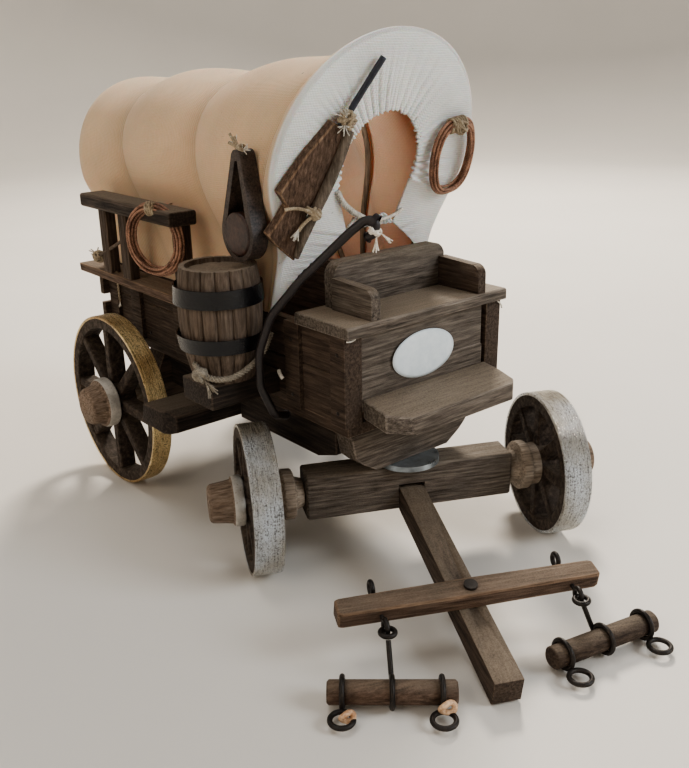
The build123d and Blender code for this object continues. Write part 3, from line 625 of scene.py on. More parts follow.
def carve(node, tone, axis, turn, dust, wear):
    look = carveLook
    source = frame["nodes"][node]
    name = otherNames.get(node, camelName(node))
    mesh = bpy.data.meshes.new(name)
    work = bmesh.new()
    work.from_mesh(source.data)
    bmesh.ops.remove_doubles(work, verts=work.verts, dist=1e-6)
    bmesh.ops.dissolve_limit(work, angle_limit=math.radians(1.0), verts=work.verts, edges=work.edges)
    sharpFrom, shortest = math.radians(look["sharpFrom"]), wear * mm * 1.2
    shared = [e for e in work.edges if len(e.link_faces) == 2]
    sharp = [e for e in shared if e.calc_face_angle(0) > sharpFrom and e.calc_length() > shortest]
    made = bmesh.ops.bevel(
        work, geom=sharp, offset=wear * mm, offset_type="OFFSET", segments=2, profile=look["profile"],
        affect="EDGES", clamp_overlap=True, material=1,
    )
    for vert in {v for f in made["faces"] for v in f.verts}:
        vert.co += noise.noise_vector(vert.co * look["chipScale"]) * look["chips"] * mm
    bmesh.ops.triangulate(work, faces=[f for f in work.faces if len(f.verts) > 4])
    for face in work.faces:
        face.smooth = True
    work.to_mesh(mesh)
    work.free()
    mesh.set_sharp_from_angle(angle=math.radians(42))
    mesh.materials.append(woodFinish(tone, axis, turn, dust))
    mesh.materials.append(woodFinish(tone + "Edge", axis, turn, dust * look["edgeDust"]))
    piece = addToScene(name, mesh)
    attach(piece, source["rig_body"])
    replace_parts(piece, node)


carvings = (  # node, tone, grain axis, turned with the axle, dust, edge wear in millimetres
    ("bed_floor", "old", "y", False, 0.5, 0.3),
    ("side_right", "old", "y", False, 0.45, 0.35),
    ("side_left", "old", "y", False, 0.45, 0.35),
    ("top_rail_right", "red", "y", False, 0.5, 0.35),
    ("top_rail_left", "old", "y", False, 0.5, 0.35),
    ("front_panel", "grey", "x", False, 0.5, 0.35),
    ("tailboard", "old", "x", False, 0.45, 0.35),
    ("seat_plank", "grey", "x", False, 0.95, 0.5),
    ("seat_back", "grey", "x", False, 0.6, 0.5),
    ("seat_arm_right", "grey", "y", False, 0.6, 0.45),
    ("seat_arm_left", "old", "y", False, 0.6, 0.45),
    ("footboard", "grey", "x", False, 0.75, 0.5),
    ("front_bolster", "grey", "x", False, 0.4, 0.5),
    ("rear_axle", "old", "x", False, 0.4, 0.4),
    ("reach_pole", "old", "y", False, 0.4, 0.4),
    ("brake_beam", "black", "x", False, 0.35, 0.6),
    ("bed_sills", "black", "y", False, 0.3, 0.4),
    ("barrel_shelf", "black", "x", False, 0.6, 0.5),
    ("rack_board", "black", "y", False, 0.55, 0.5),
    ("rack_posts", "old", "z", False, 0.3, 0.4),
    ("axle_beam", "grey", "x", True, 0.5, 0.6),
    ("tongue", "old", "y", True, 0.55, 0.7),
    ("evener", "red", "x", True, 0.35, 0.7),
    ("singletree_right", "red", "x", True, 0.35, 0.4),
    ("singletree_left", "old", "x", True, 0.35, 0.4),
)
for node, tone, axis, turned, dust, wear in carvings:
    carve(node, tone, axis, wagon["steerTurn"] if turned else 0.0, dust, wear)

# wheels: inner is the inner face's distance from the wagon's middle; a hub's points are their distance
# from that face and their radius, and its flange and its cap start at these distances
hubInside = (
    (-11.4, 2.2), (-11.4, 5.0), (-11.0, 5.4), (-8.8, 6.1), (-8.3, 6.6), (-7.8, 8.9), (-7.3, 9.35),
    (-4.3, 9.45), (-3.8, 9.1), (-3.2, 7.9),
)
wheelEnds = {
    "front": {
        "radius": 27.7, "tread": 10.4, "inner": 51.8, "foil": frontFoil, "steered": True,
        "flangeStart": 10.4, "capStart": 14.6,
        "hub": hubInside + (
            (0.0, 8.2), (10.5, 8.2), (10.7, 9.0), (11.2, 9.35), (13.6, 9.35), (14.4, 9.0), (14.9, 8.1),
            (17.0, 7.7), (22.0, 7.1), (22.8, 6.6), (23.1, 5.9), (23.1, 3.0), (22.8, 1.0),
        ),
    },
    "rear": {
        "radius": 37.7, "tread": 8.3, "inner": 48.5, "foil": rearFoilPaintedGold, "steered": False,
        "flangeStart": 8.3, "capStart": 13.8,
        "hub": hubInside + (
            (0.0, 8.6), (8.4, 8.7), (8.6, 10.2), (9.1, 10.75), (12.6, 10.75), (13.6, 10.3), (14.0, 9.2),
            (15.6, 8.6), (19.0, 8.0), (19.7, 7.5), (20.1, 6.9), (20.1, 3.0), (19.8, 1.0),
        ),
    },
}
rimShape = {"deep": 5.4, "sunk": 0.75, "bend": 0.5, "clear": 0.1, "around": 120}
spokeShape = {
    "count": 8, "foot": 7.6, "hubHalf": 2.3, "rimHalf": 1.9, "round": 0.5, "sunk": 0.6, "uneven": 0.03,
}


def wheelPlacer(side, end):
    # out along the axle, then back and up from the wheel's middle
    def place(out, back, up):
        if end["steered"]:
            return steeredPoint(side * out, back, end["radius"] + up)
        return wagonPoint(side * out, wagon["rearAxleY"] + back, end["radius"] + up)
    return place


def spinPoints(place, profile, around):
    verts = []
    for step in range(around):
        angle = step / around * fullTurn
        verts += [place(out, reach * math.sin(angle), reach * math.cos(angle)) for out, reach in profile]
    return verts


def makeWheel(name, side, end):
    place = wheelPlacer(side, end)
    rim, spoke = rimShape, spokeShape
    inner, outer = end["inner"] + rim["clear"], end["inner"] + end["tread"] - rim["clear"]
    rimIn, rimOut = end["radius"] - rim["deep"], end["radius"] - rim["sunk"]
    bend, slight = rim["bend"], rim["bend"] * 0.3
    profile = (
        (inner, rimOut), (inner, rimIn + bend), (inner + slight, rimIn + slight), (inner + bend, rimIn),
        (outer - bend, rimIn), (outer - slight, rimIn + slight), (outer, rimIn + bend), (outer, rimOut),
    )
    verts = spinPoints(place, profile, rim["around"])
    faces = spinFaces(rim["around"], len(profile), True)
    middle, half = end["inner"] + end["tread"] / 2, end["tread"] / 2 - spoke["sunk"]
    r, wideFoot, wideEnd = spoke["round"], spoke["hubHalf"], spoke["rimHalf"]
    sections = ((spoke["foot"], wideFoot), (rimIn * 0.6, (wideFoot + wideEnd) / 2), (rimIn + 0.8, wideEnd))
    draw = random.Random(int(end["radius"] * 10) + side)
    for k in range(spoke["count"]):
        angle = k / spoke["count"] * fullTurn + draw.uniform(-1, 1) * spoke["uneven"]
        sine, cosine = math.sin(angle), math.cos(angle)
        start = len(verts)
        for reach, wide in sections:
            quarter = ((-half, -wide + r), (-half + r, -wide), (half - r, -wide), (half, -wide + r))
            for u, v in quarter + tuple((-u, -v) for u, v in quarter):
                verts.append(place(middle + u, sine * reach + cosine * v, cosine * reach - sine * v))
        faces += tubeFaces(start, len(sections), 8)
    wheel = newPiece(camelName("wheel_" + name), verts, faces, [wheelWood], "wheel_" + name)
    faceOutwards(wheel)
    wheel.data.set_sharp_from_angle(angle=math.radians(40))
    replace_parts(wheel, "wheel_" + name)


def makeHub(name, side, end):
    place = wheelPlacer(side, end)
    profile = tuple((end["inner"] + out, reach) for out, reach in end["hub"])
    around = 72
    verts, faces = spinPoints(place, profile, around), spinFaces(around, len(profile), False)
    turned = wagon["steerTurn"] if end["steered"] else 0.0
    body, cap = (woodFinish(tone, "x", turned, 0.1) for tone in ("pale", "hubCap"))
    finishes = [body, cap, flangeFinish, wheelWood]
    hub = newPiece(camelName("hub_" + name), verts, faces, finishes, "wheel_" + name)
    middle, outwards = place(0, 0, 0), place(1, 0, 0) - place(0, 0, 0)
    for face in hub.data.polygons:
        corners = [(hub.data.vertices[v].co - middle).dot(outwards) for v in face.vertices]
        out = sum(corners) / len(corners) * 1e6
        if out > end["inner"] + end["capStart"]:
            face.material_index = 1
        elif out > end["inner"] + end["flangeStart"]:
            face.material_index = 2
        elif out > end["inner"] - 0.2:
            face.material_index = 3
    faceOutwards(hub)
    hub.data.set_sharp_from_angle(angle=math.radians(40))
    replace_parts(hub, "hub_" + name)


wheels = [
    (endName + "_" + sideName, side, end)
    for endName, end in wheelEnds.items() for sideName, side in (("right", -1), ("left", 1))
]
for name, side, end in wheels:
    makeWheel(name, side, end)
    makeHub(name, side, end)
print("wood carved")


# tyres: a thin foil skin laid round each rim; share of the tread, depth under the skin
tyreShape = {
    "around": 150, "crinkle": 0.10,
    "skin": (
        (-0.5, 1.15), (-0.5, 0.12), (-0.44, 0.03), (-0.25, 0.0), (0.0, 0.03), (0.25, 0.0), (0.44, 0.03),
        (0.5, 0.12), (0.5, 1.15),
    ),
}


def makeTyre(name, side, end):
    place = wheelPlacer(side, end)
    around, skin = tyreShape["around"], tyreShape["skin"]
    middle = end["inner"] + end["tread"] / 2
    verts, wheelPlaces = [], []
    for step in range(around):
        angle = step / around * fullTurn
        sine, cosine = math.sin(angle), math.cos(angle)
        for share, sink in skin:
            spot = Vector((cosine * 9, sine * 9, share * 5 + side * 7))
            crinkle = tyreShape["crinkle"] * abs(noise.noise(spot)) if sink < 1 else 0
            out = end["radius"] - sink - crinkle
            across = middle + share * end["tread"]
            verts.append(place(across, out * sine, out * cosine))
            wheelPlaces += [out * cosine * mm, out * sine * mm, across * mm]
    faces = spinFaces(around, len(skin), True)
    tyre = newPiece(camelName("tyre_" + name), verts, faces, [end["foil"]], "wheel_" + name)
    kept = tyre.data.attributes.new("wheelPlace", "FLOAT_VECTOR", "POINT")
    kept.data.foreach_set("vector", wheelPlaces)
    faceOutwards(tyre)
    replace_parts(tyre, "tyre_" + name)


for name, side, end in wheels:
    makeTyre(name, side, end)
print("tyres made")


# barrel: staves with open seams and a sunk lid of boards, in millimetres
barrelShape = {
    "x": -53.2, "y": 48.5, "bottom": 72.6, "foot": 10.8, "bellyAt": 96.0, "belly": 14.6, "top": 112.6,
    "head": 13.3, "lid": 110.8, "staves": 17, "perStave": 10, "seam": 0.75, "lidBoard": 6.4, "lidSeam": 0.22,
}


def barrelRadius(shape, height):
    # a smooth curve through the foot, the belly and the head
    heights, radii = ("bottom", "bellyAt", "top"), ("foot", "belly", "head")
    marks = [(shape[at], shape[wide]) for at, wide in zip(heights, radii)]
    total = 0.0
    for here in marks:
        term = here[1]
        for other in marks:
            if other != here:
                term *= (height - other[0]) / (here[0] - other[0])
        total += term
    return total


def makeBarrel(shape):
    perStave, rim, lid = shape["perStave"], shape["head"], shape["lid"]
    around = shape["staves"] * perStave
    rows = [shape["bottom"] + k / 26 * (shape["top"] - shape["bottom"]) for k in range(27)]
    # height, radius, whether it has seams
    rings = [(shape["bottom"], 3.0, False), (shape["bottom"], 9.6, False)]
    rings += [(z, barrelRadius(shape, z), True) for z in rows]
    rings += [(shape["top"], rim - 1.9, False), (lid + 0.1, rim - 2.2, False)]
    rings += [(lid, radius, False) for radius in (rim - 4.5, 5.0, 1.0)]
    verts = []
    for z, radius, grooved in rings:
        for step in range(around):
            angle = step / around * fullTurn
            out, lift = radius, 0.0
            if grooved:
                stave = (step % perStave) / perStave
                nearSeam = min(stave, 1 - stave) * perStave
                out -= shape["seam"] * max(0.0, 1 - nearSeam / 1.1)
                out += 0.12 * math.sin(stave * math.pi)
                out += 0.10 * noise.noise(Vector((math.cos(angle) * 4, math.sin(angle) * 4, z * 0.12)))
            across, back = out * math.cos(angle), out * math.sin(angle)
            if not grooved and abs(z - lid) < 0.25:
                board = shape["lidBoard"]
                onSeam = abs((across + board / 2) % board - board / 2) < 0.45
                lift = -shape["lidSeam"] if onSeam else 0.06 * noise.noise(Vector((across, back, 3)))
            verts.append(wagonPoint(shape["x"] + across, shape["y"] + back, z + lift))
    faces = tubeFaces(0, len(rings), around)
    barrel = newPiece("barrelStaves", verts, faces, [woodFinish("barrel", "z", 0.0, 0.55)])
    barrel.data.set_sharp_from_angle(angle=math.radians(50))
    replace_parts(barrel, "barrel")


makeBarrel(barrelShape)
paints = {
    "barrel_bands": bandFinish, "axle_strap": bandFinish, "brake_lever": leverFinish,
    "turntable": plateFinish,
    "tongue_nail": ironFinish, "evener_nail": ironFinish, "evener_irons": ironFinish,
    "singletree_irons_right": ironFinish, "singletree_irons_left": ironFinish,
    "canteen": canteenFinish, "canteen_strap": strapFinish,
}
for node, finish in paints.items():
    nodeFinishes = frame["nodes"][node].data.materials
    nodeFinishes.clear()
    nodeFinishes.append(finish)
slim = frame["nodes"]["brake_lever"].modifiers.new("slim", "DISPLACE")
slim.strength, slim.mid_level = -0.45 * mm, 0.0
print("barrel and ironwork done")


# cover: one sheet over the bows, its ends gathered round a drawstring
# lowest is the opening's lowest angle, and below hemUp the outline's cloth runs to the flaps
openingShape = {"x": 1.0, "up": 51.5, "halfWide": 17.8, "halfHigh": 20.0, "lowest": -66, "hemUp": 36.0}
leftFlap = ((33.0, 0.6), (33.0, 14.0), (22.4, 22.5), (14.0, 28.5))  # each from its foot to the hem's corner
rightFlap = ((-33.0, 0.6), (-33.0, 6.5), (-26.3, 14.7), (-14.8, 23.5), (-8.5, 28.5))
sheetGrid = {"around": 320, "perBay": 20, "rings": 22, "band": 40}


def bowOutline(share, bow, inset):
    # share runs from 0 at the right-hand foot over the crest to 1 at the left-hand foot
    footY, crestY, crestZ, wide = bow
    high = math.hypot(crestY - footY, crestZ - coverShape["footZ"])
    w, foot = wide - inset, coverShape["footHalf"] - inset
    spring, knee = high - wide, coverShape["knee"]
    swell = math.hypot(w - foot, spring - knee)
    half = knee + swell + math.pi / 2 * w
    side = -1 if share < 0.5 else 1
    run = min(share, 1 - share) * 2 * half
    if run <= knee:
        return side * foot, run
    if run <= knee + swell:
        t = (run - knee) / swell
        return side * (foot + (w - foot) * easeIn(t)), knee + (spring - knee) * t
    angle = (run - knee - swell) / w
    return side * w * math.cos(angle), spring + (high - inset - spring) / w * w * math.sin(angle)


def blendBows(t):
    # the cloth swells between the valleys, which lie at the odd places
    index = min(int(t), len(bowShapes) - 2)
    f = t - index
    here, there = bowShapes[index], bowShapes[index + 1]
    swell = math.sin(f * math.pi / 2) if index % 2 else 1 - math.cos(f * math.pi / 2)
    valley = math.exp(-abs(t - 1 - 2 * round((t - 1) / 2)) / 0.10) if 0.5 < t < 5.5 else 0.0
    footY, crestY = (a + (b - a) * f for a, b in zip(here[:2], there[:2]))
    crestZ, wide = (a + (b - a) * swell - 0.9 * valley for a, b in zip(here[2:], there[2:]))
    return (footY, crestY, crestZ, wide), valley


def alongLine(line, share):
    lengths = [math.dist(p, q) for p, q in zip(line, line[1:])]
    left = share * sum(lengths)
    for p, q, length in zip(line, line[1:], lengths):
        if left <= length:
            f = left / length
            return p[0] + (q[0] - p[0]) * f, p[1] + (q[1] - p[1]) * f
        left -= length
    return line[-1]


def openingEdge(angle):
    across = openingShape["x"] + openingShape["halfWide"] * math.cos(angle)
    return across, openingShape["up"] + openingShape["halfHigh"] * math.sin(angle)


def innerPoint(x, up):
    # the point of the opening's edge that an outline point is gathered to
    shape = openingShape
    if up < shape["hemUp"]:
        return alongLine(leftFlap if x > 0 else rightFlap, up / shape["hemUp"])
    angle = math.atan2((up - shape["up"]) / shape["halfHigh"], (x - shape["x"]) / shape["halfWide"])
    lowest = math.radians(shape["lowest"])
    if math.sin(angle) < math.sin(lowest):
        angle = lowest if x > 0 else math.pi - lowest
    return openingEdge(angle)


def pleatWaves(seed):
    draw = random.Random(seed)
    return [(draw.uniform(34, 92), draw.uniform(0, 6.28), draw.uniform(0.5, 1.0)) for _ in range(7)]


def pleatHeight(waves, share, ring):
    total = sum(math.sin(share * count * fullTurn + phase) * high for count, phase, high in waves)
    return total / 2.6 * 0.95 * max(0.0, 1 - ring) ** 1.4


def endCloth(bow, seed):
    # rings from the opening's edge to the hoop, pleated towards the opening
    around, rings, hemUp = sheetGrid["around"], sheetGrid["rings"], openingShape["hemUp"]
    middle = Vector((openingShape["x"], openingShape["up"]))
    raised, drawn = pleatWaves(seed), pleatWaves(seed + 3)
    grid = []
    for ring in range(rings + 1):
        r = (ring / rings) ** 1.25
        row = []
        for step in range(around + 1):
            share = step / around
            x, up = bowOutline(share, bow, coverShape["inset"] + 1.0)
            inner, outer = Vector(innerPoint(x, up)), Vector((x, up))
            spot = inner + (outer - inner) * r
            height = pleatHeight(raised, share, r)
            if up < hemUp:
                height *= 0.55 * (0.3 + 0.7 * up / hemUp)
            else:
                spot += (inner - middle).normalized() * pleatHeight(drawn, share * 1.31 + 0.2, r) * 0.55
            drift = noise.noise(Vector((spot.x * 0.07, spot.y * 0.07, seed)))
            height += 0.9 * math.sin(math.pi * min(1, r * 1.1)) * drift
            row.append((spot.x, spot.y, height))
        grid.append(row)
    return grid


def newNet():
    return {"verts": [], "flats": [], "tones": [], "creases": [], "faces": []}


def addPoint(net, place, flat, tone, creaseShadeShare=0.0):
    net["verts"].append(place)
    net["flats"].append(flat)
    net["tones"].append(tone)
    net["creases"].append(creaseShadeShare)
    return len(net["verts"]) - 1


def layFaces(net, grid):
    for upper, lower in zip(grid, grid[1:]):
        for k in range(len(upper) - 1):
            net["faces"].append((upper[k], upper[k + 1], lower[k + 1], lower[k]))


def laySides(net):
    # the cloth over the bows, from the front to the rear
    around = sheetGrid["around"]
    bays = len(bowShapes) - 1
    rows = bays * sheetGrid["perBay"] // 2
    sheet = []
    for row in range(rows + 1):
        t = row / rows * bays
        bow, valley = blendBows(t)
        line = []
        for step in range(around + 1):
            share = step / around
            x, up = bowOutline(share, bow, coverShape["inset"])
            ripple = 0.35 * max(0.0, 1 - up / 34) * math.sin(t * 9.5 + share * 7)
            ripple += 0.28 * noise.noise(Vector((x * 0.05, t * 2.2, up * 0.04)))
            scale = 1 + ripple / max(abs(x) + up * 0.5, 12)
            place = onBow(bow, x * scale, up if up < 5 else up * (1 + 0.3 * (scale - 1)))
            # share of painted front light, full at the front hoop and fading over the first bay
            paintedFrontLightShare = max(0.0, min(1.0, 1 - (t - 0.12) / 0.12))
            flat = (share * 210, row * 152 / rows)
            # painted crease shade along the valleys, fading out towards the cloth's foot
            line.append(addPoint(net, place, flat, paintedFrontLightShare, valley * min(1, up / 12)))
        sheet.append(line)
    layFaces(net, sheet)
    return sheet


def layEnd(net, bow, way, seed, hoopRow, tone):
    grid = []
    for row in endCloth(bow, seed):
        places = [(onBow(bow, x, up, way * (out + 0.25)), (x, up)) for x, up, out in row]
        grid.append([addPoint(net, place, flat, tone) for place, flat in places])
    layFaces(net, grid + [hoopRow])
    # hem band under the opening, between the two flaps
    lowest, band = openingShape["lowest"], sheetGrid["band"]
    leftX, rightX = leftFlap[-1][0], rightFlap[-1][0]
    hem = []
    for level in range(4):
        line = []
        for k in range(band + 1):
            top = Vector(openingEdge(math.radians(lowest - (180 + 2 * lowest) * k / band)))
            low = Vector((leftX + (rightX - leftX) * k / band, 28.7 + 0.35 * math.sin(k * 1.7)))
            spot = top + (low - top) * level / 3
            out = way * (0.3 + 0.5 * math.sin(k * 2.1 + level))
            line.append(addPoint(net, onBow(bow, spot.x, spot.y, out), (spot.x, spot.y), tone))
        hem.append(line)
    layFaces(net, hem)


def makeCover():
    net = newNet()
    sheet = laySides(net)
    # the front end cloth gets full painted front light, the rear end a little of it
    layEnd(net, bowShapes[0], 1, 4, sheet[0], 1.0)
    layEnd(net, bowShapes[-1], -1, 8, sheet[-1], 0.2)
    cover = newPiece("coverCloth", net["verts"], net["faces"], [coverFinish])
    flatMap = cover.data.uv_layers.new(name="flatMap")
    for loop in cover.data.loops:
        flatMap.data[loop.index].uv = net["flats"][loop.vertex_index]
    for name, values in (("frontTone", net["tones"]), ("paintedCreaseShade", net["creases"])):
        kept = cover.data.attributes.new(name, "FLOAT", "POINT")
        kept.data.foreach_set("value", values)
    faceOutwards(cover)
    thick = cover.modifiers.new("clothThickness", "SOLIDIFY")
    thick.thickness = coverShape["thick"] * mm
    thick.offset = 0
    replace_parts(cover, "cover")


makeCover()
print("cover made")


# twine, ropes and knots
def smoothLine(points, perSpan=10):
    line = []
    padded = [points[0]] + list(points) + [points[-1]]
    for k in range(len(points) - 1):
        p, q, r, s = padded[k:k + 4]
        for step in range(perSpan):
            f = step / perSpan
            bend = (r - p) * f + (2 * p - 5 * q + 4 * r - s) * f * f + (3 * q - p - 3 * r + s) * f ** 3
            line.append(0.5 * (2 * q + bend))
    line.append(points[-1])
    return line


def turnFrom(first, second, angle):
    return first * math.cos(angle) + second * math.sin(angle)


def aheadAt(line, k):
    return (line[min(k + 1, len(line) - 1)] - line[max(k - 1, 0)]).normalized()


def evenPoints(line, step):
    even, left = [line[0]], step
    for a, b in zip(line, line[1:]):
        length = (b - a).length
        run = left
        while run <= length:
            even.append(a + (b - a) * (run / length))
            run += step
        left = run - length
    return even


def twistedRope(name, points, radius, strands, pitch, finish):
    sides, step = 6, radius * 0.55 * mm
    even = evenPoints(smoothLine(points), step)
    normal = (even[1] - even[0]).orthogonal().normalized()
    frames = []
    for k, place in enumerate(even):
        ahead = aheadAt(even, k)
        normal = (normal - ahead * normal.dot(ahead)).normalized()
        frames.append((place, normal.copy(), ahead.cross(normal), k * step))
    verts, faces = [], []
    for strand in range(strands):
        start = len(verts)
        for place, n, b, run in frames:
            angle = (strand / strands + run / (pitch * mm)) * fullTurn
            middle = place + turnFrom(n, b, angle) * radius * 0.5 * mm
            for side in range(sides):
                verts.append(middle + turnFrom(n, b, side / sides * fullTurn) * radius * 0.56 * mm)
        faces += tubeFaces(start, len(frames), sides)
    newPiece(name, verts, faces, [finish])


def taperedRod(name, points, radii, finish, sides=12, perSpan=8, across=(1, 0, 0)):
    # across is any direction that the rod never runs along
    line = smoothLine(points, perSpan)
    verts = []
    for k, place in enumerate(line):
        f = k / perSpan
        index = min(int(f), len(radii) - 2)
        radius = radii[index] + (radii[index + 1] - radii[index]) * (f - index)
        ahead = aheadAt(line, k)
        n = (Vector(across) - ahead * ahead.dot(Vector(across))).normalized()
        b = ahead.cross(n)
        for side in range(sides):
            wobble = 1 + 0.10 * noise.noise(place * 700 + Vector((side, 0, 0)))
            verts.append(place + turnFrom(n, b, side / sides * fullTurn) * radius * wobble * mm)
    return newPiece(name, verts, tubeFaces(0, len(line), sides), [finish])


def knotSplines(centre, size, loops, seed):
    # a few wandering closed turns round a point, as a tight overhand knot shows
    draw = random.Random(seed)
    splines = []
    for _ in range(loops):
        a = Vector([draw.gauss(0, 1) for _ in range(3)]).normalized()
        b = a.cross(Vector([draw.gauss(0, 1) for _ in range(3)])).normalized()
        reach = size * draw.uniform(0.55, 1.0)
        offset = Vector([draw.uniform(-0.25, 0.25) * size for _ in range(3)])
        splines.append([centre + (offset + turnFrom(a, b, t * 0.66) * reach) * mm for t in range(11)])
    return splines


def fraySplines(origin, direction, count, length, spread, seed):
    # fibres that bend apart
    draw = random.Random(seed)
    direction = Vector(direction).normalized()
    splines = []
    for _ in range(count):
        bend = Vector([draw.uniform(-1, 1) for _ in range(3)]) * spread
        tip = (direction + bend).normalized()
        reach = length * draw.uniform(0.6, 1.0)
        middle = direction * reach * 0.5 + bend * reach * 0.15
        splines.append([origin, origin + middle * mm, origin + tip * reach * mm])
    return splines


def wrapSplines(centre, axis, reach, turns, spacing, flatDir, squash=0.75):
    # turns of twine round a long thin piece, pressed flat in one direction
    axis = axis.normalized()
    a = (flatDir - axis * flatDir.dot(axis)).normalized()
    b = axis.cross(a)
    points = []
    for step in range(turns * 10 + 1):
        along = (step / 10 - turns / 2) * spacing
        points.append(centre + (axis * along + turnFrom(a * squash, b, step / 10 * fullTurn) * reach) * mm)
    return [points]


def near(place, x, y, z):
    return place + Vector((x, y, z)) * mm


# hoops that follow the cloth: a bow's shape, and how far inside it the rod's middle runs
hoops = (
    ((45.8, 15.8, 186.4, 43.9), 3.4), ((73.0, 72.0, 177.0, 39.6), 2.5),
    ((84.6, 130.8, 174.4, 43.4), 2.8), ((153.2, 184.2, 171.0, 42.4), 3.2),
)
hoopWood = woodFinish("hoop", "z", 0.0, 0.1)
for number, (bow, inset) in enumerate(hoops, start=1):
    line = [bowOutline(step / 40, bow, inset) for step in range(41)]
    line = [(line[0][0], -2.0)] + line + [(line[-1][0], -2.0)]
    points = [onBow(bow, x, up) for x, up in line]
    name = "hoopRod" + str(number)
    hoop = taperedRod(name, points, (1.2, 1.2), hoopWood, sides=10, perSpan=2, across=(0, 1, 0))
    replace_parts(hoop, "bows")

# rifle: a carved board, a stick under it and a thin rod; across, up and out on the front cloth, then radii
rifleStick = (
    (-20.2, 67.5, 5.2), (-23.6, 56.0, 5.7), (-28.0, 44.0, 5.8), (-31.8, 33.0, 5.5), (-33.4, 24.0, 4.8),
)
stickLine = [hoodPoint(*place) for place in rifleStick]
taperedRod("rifleForestock", stickLine, (1.6, 1.9, 1.9, 1.7, 1.1), woodFinish("stick", "z", 0.0, 0.2))
rodLine = [hoodPoint(x, up, 3.2) for x, up in ((-24.2, 65.8), (-17.1, 77.8), (-9.9, 90.0))]
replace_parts(taperedRod("rifleBarrel", rodLine, (1.15, 1.1, 1.1), rifleFinish), "rifle_barrel")
stockShape = {
    "under": 1.0, "top": 4.6, "worn": 0.5,
    "outline": (
        (-26.5, 70.3), (-18.3, 65.5), (-21.6, 57.7), (-26.3, 50.2), (-31.2, 39.4), (-32.1, 33.0),
        (-33.5, 22.3), (-43.2, 30.2), (-46.2, 33.6), (-42.3, 39.1), (-40.1, 43.0), (-44.2, 48.0),
        (-35.4, 60.5),
    ),
}


def makeStock(shape):
    outline = shape["outline"]
    verts = [hoodPoint(x, up, out) for out in (shape["under"], shape["top"]) for x, up in outline]
    finishes = [woodFinish(tone, "z", 0.0, 0.1) for tone in ("red", "redEdge")]
    stock = newPiece("rifleStock", verts, tubeFaces(0, 2, len(outline)), finishes, smooth=False)
    faceOutwards(stock)
    worn = stock.modifiers.new("wornEdges", "BEVEL")
    worn.width, worn.segments, worn.limit_method, worn.material = shape["worn"] * mm, 2, "ANGLE", 1
    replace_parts(stock, "rifle_stock")


makeStock(stockShape)

# rifle ties: a few turns round the piece, a knot and its ends
barrelLine = hoodPoint(-10.0, 89.8) - hoodPoint(-24.7, 64.9)
upper = hoodPoint(-21.0, 70.8, 4.2)
turns = wrapSplines(upper, barrelLine, 2.9, 4, 1.1, hoodOut)
knot = knotSplines(near(upper + hoodOut * 1.6 * mm, -1.6, 0, 0.64), 2.6, 7, 11)
newCurve("rifleTieUpper", turns + knot, 0.55, twineFinish)
upperEnd = upper + hoodOut * 1.5 * mm
ends = fraySplines(near(upperEnd, -1.2, 0, 0.3), (-0.7, -0.3, 0.9), 12, 6.0, 0.5, 21)
ends += fraySplines(near(upperEnd, -2.2, 0, -0.5), (-0.6, -0.4, -0.6), 10, 4.5, 0.5, 22)
newCurve("rifleTieUpperEnds", ends, 0.17, paleTwineFinish, sides=1)
lower = hoodPoint(-30.2, 40.6, 5.6)
lowerEnd = lower + hoodOut * 2.0 * mm
turns = wrapSplines(lower, stickLine[2] - stickLine[3], 2.6, 2, 1.2, hoodOut, 0.95)
newCurve("rifleTieLower", turns + knotSplines(lowerEnd, 2.1, 6, 13), 0.6, twineFinish)
ends = [
    [lowerEnd, hoodPoint(-36.0, 43.6, 5.4), hoodPoint(-41.0, 42.2, 4.4)],
    [lowerEnd, hoodPoint(-34.6, 38.0, 6.6), hoodPoint(-35.6, 35.0, 6.6)],
]
newCurve("rifleTieLowerEnds", ends, 0.6, twineFinish)
frayFrom = hoodPoint(-35.3, 36.4, 6.6)
fray = fraySplines(frayFrom, hoodPoint(-37.0, 32.0, 6.4) - frayFrom, 22, 5.2, 0.28, 31)
newCurve("rifleTieLowerFray", fray, 0.24, paleTwineFinish, sides=1)

# drawstring along the lower edge of the opening, through the lever's hook
leftString = ((-16.8, 44.5, 0.6), (-13.6, 40.0, 1.6), (-8.6, 36.2, 2.2), (-3.6, 33.6, 2.6), (0.6, 31.6, 2.8))
rightString = ((1.0, 31.0, 2.8), (6.0, 31.4, 2.2), (12.0, 32.0, 1.6), (17.2, 33.6, 0.8))
twistedRope("drawstringLeft", [hoodPoint(*place) for place in leftString], 1.15, 3, 3.4, paleTwineFinish)
twistedRope("drawstringRight", [hoodPoint(*place) for place in rightString], 0.7, 3, 2.4, whiteStringFinish)
hookKnot = wagonPoint(-26.4, -1.6, 126.6)
newCurve("hookKnot", knotSplines(hookKnot, 1.9, 7, 17), 0.5, whiteStringFinish)
ends = fraySplines(near(hookKnot, 0.6, -0.6, -1.6), (0.10, 0.2, -1), 9, 5.4, 0.22, 41)
ends += fraySplines(near(hookKnot, 2.2, -1.4, -0.8), (0.9, -0.5, -1), 9, 5.0, 0.22, 42)
newCurve("hookKnotEnds", ends, 0.24, whiteStringFinish, sides=1)

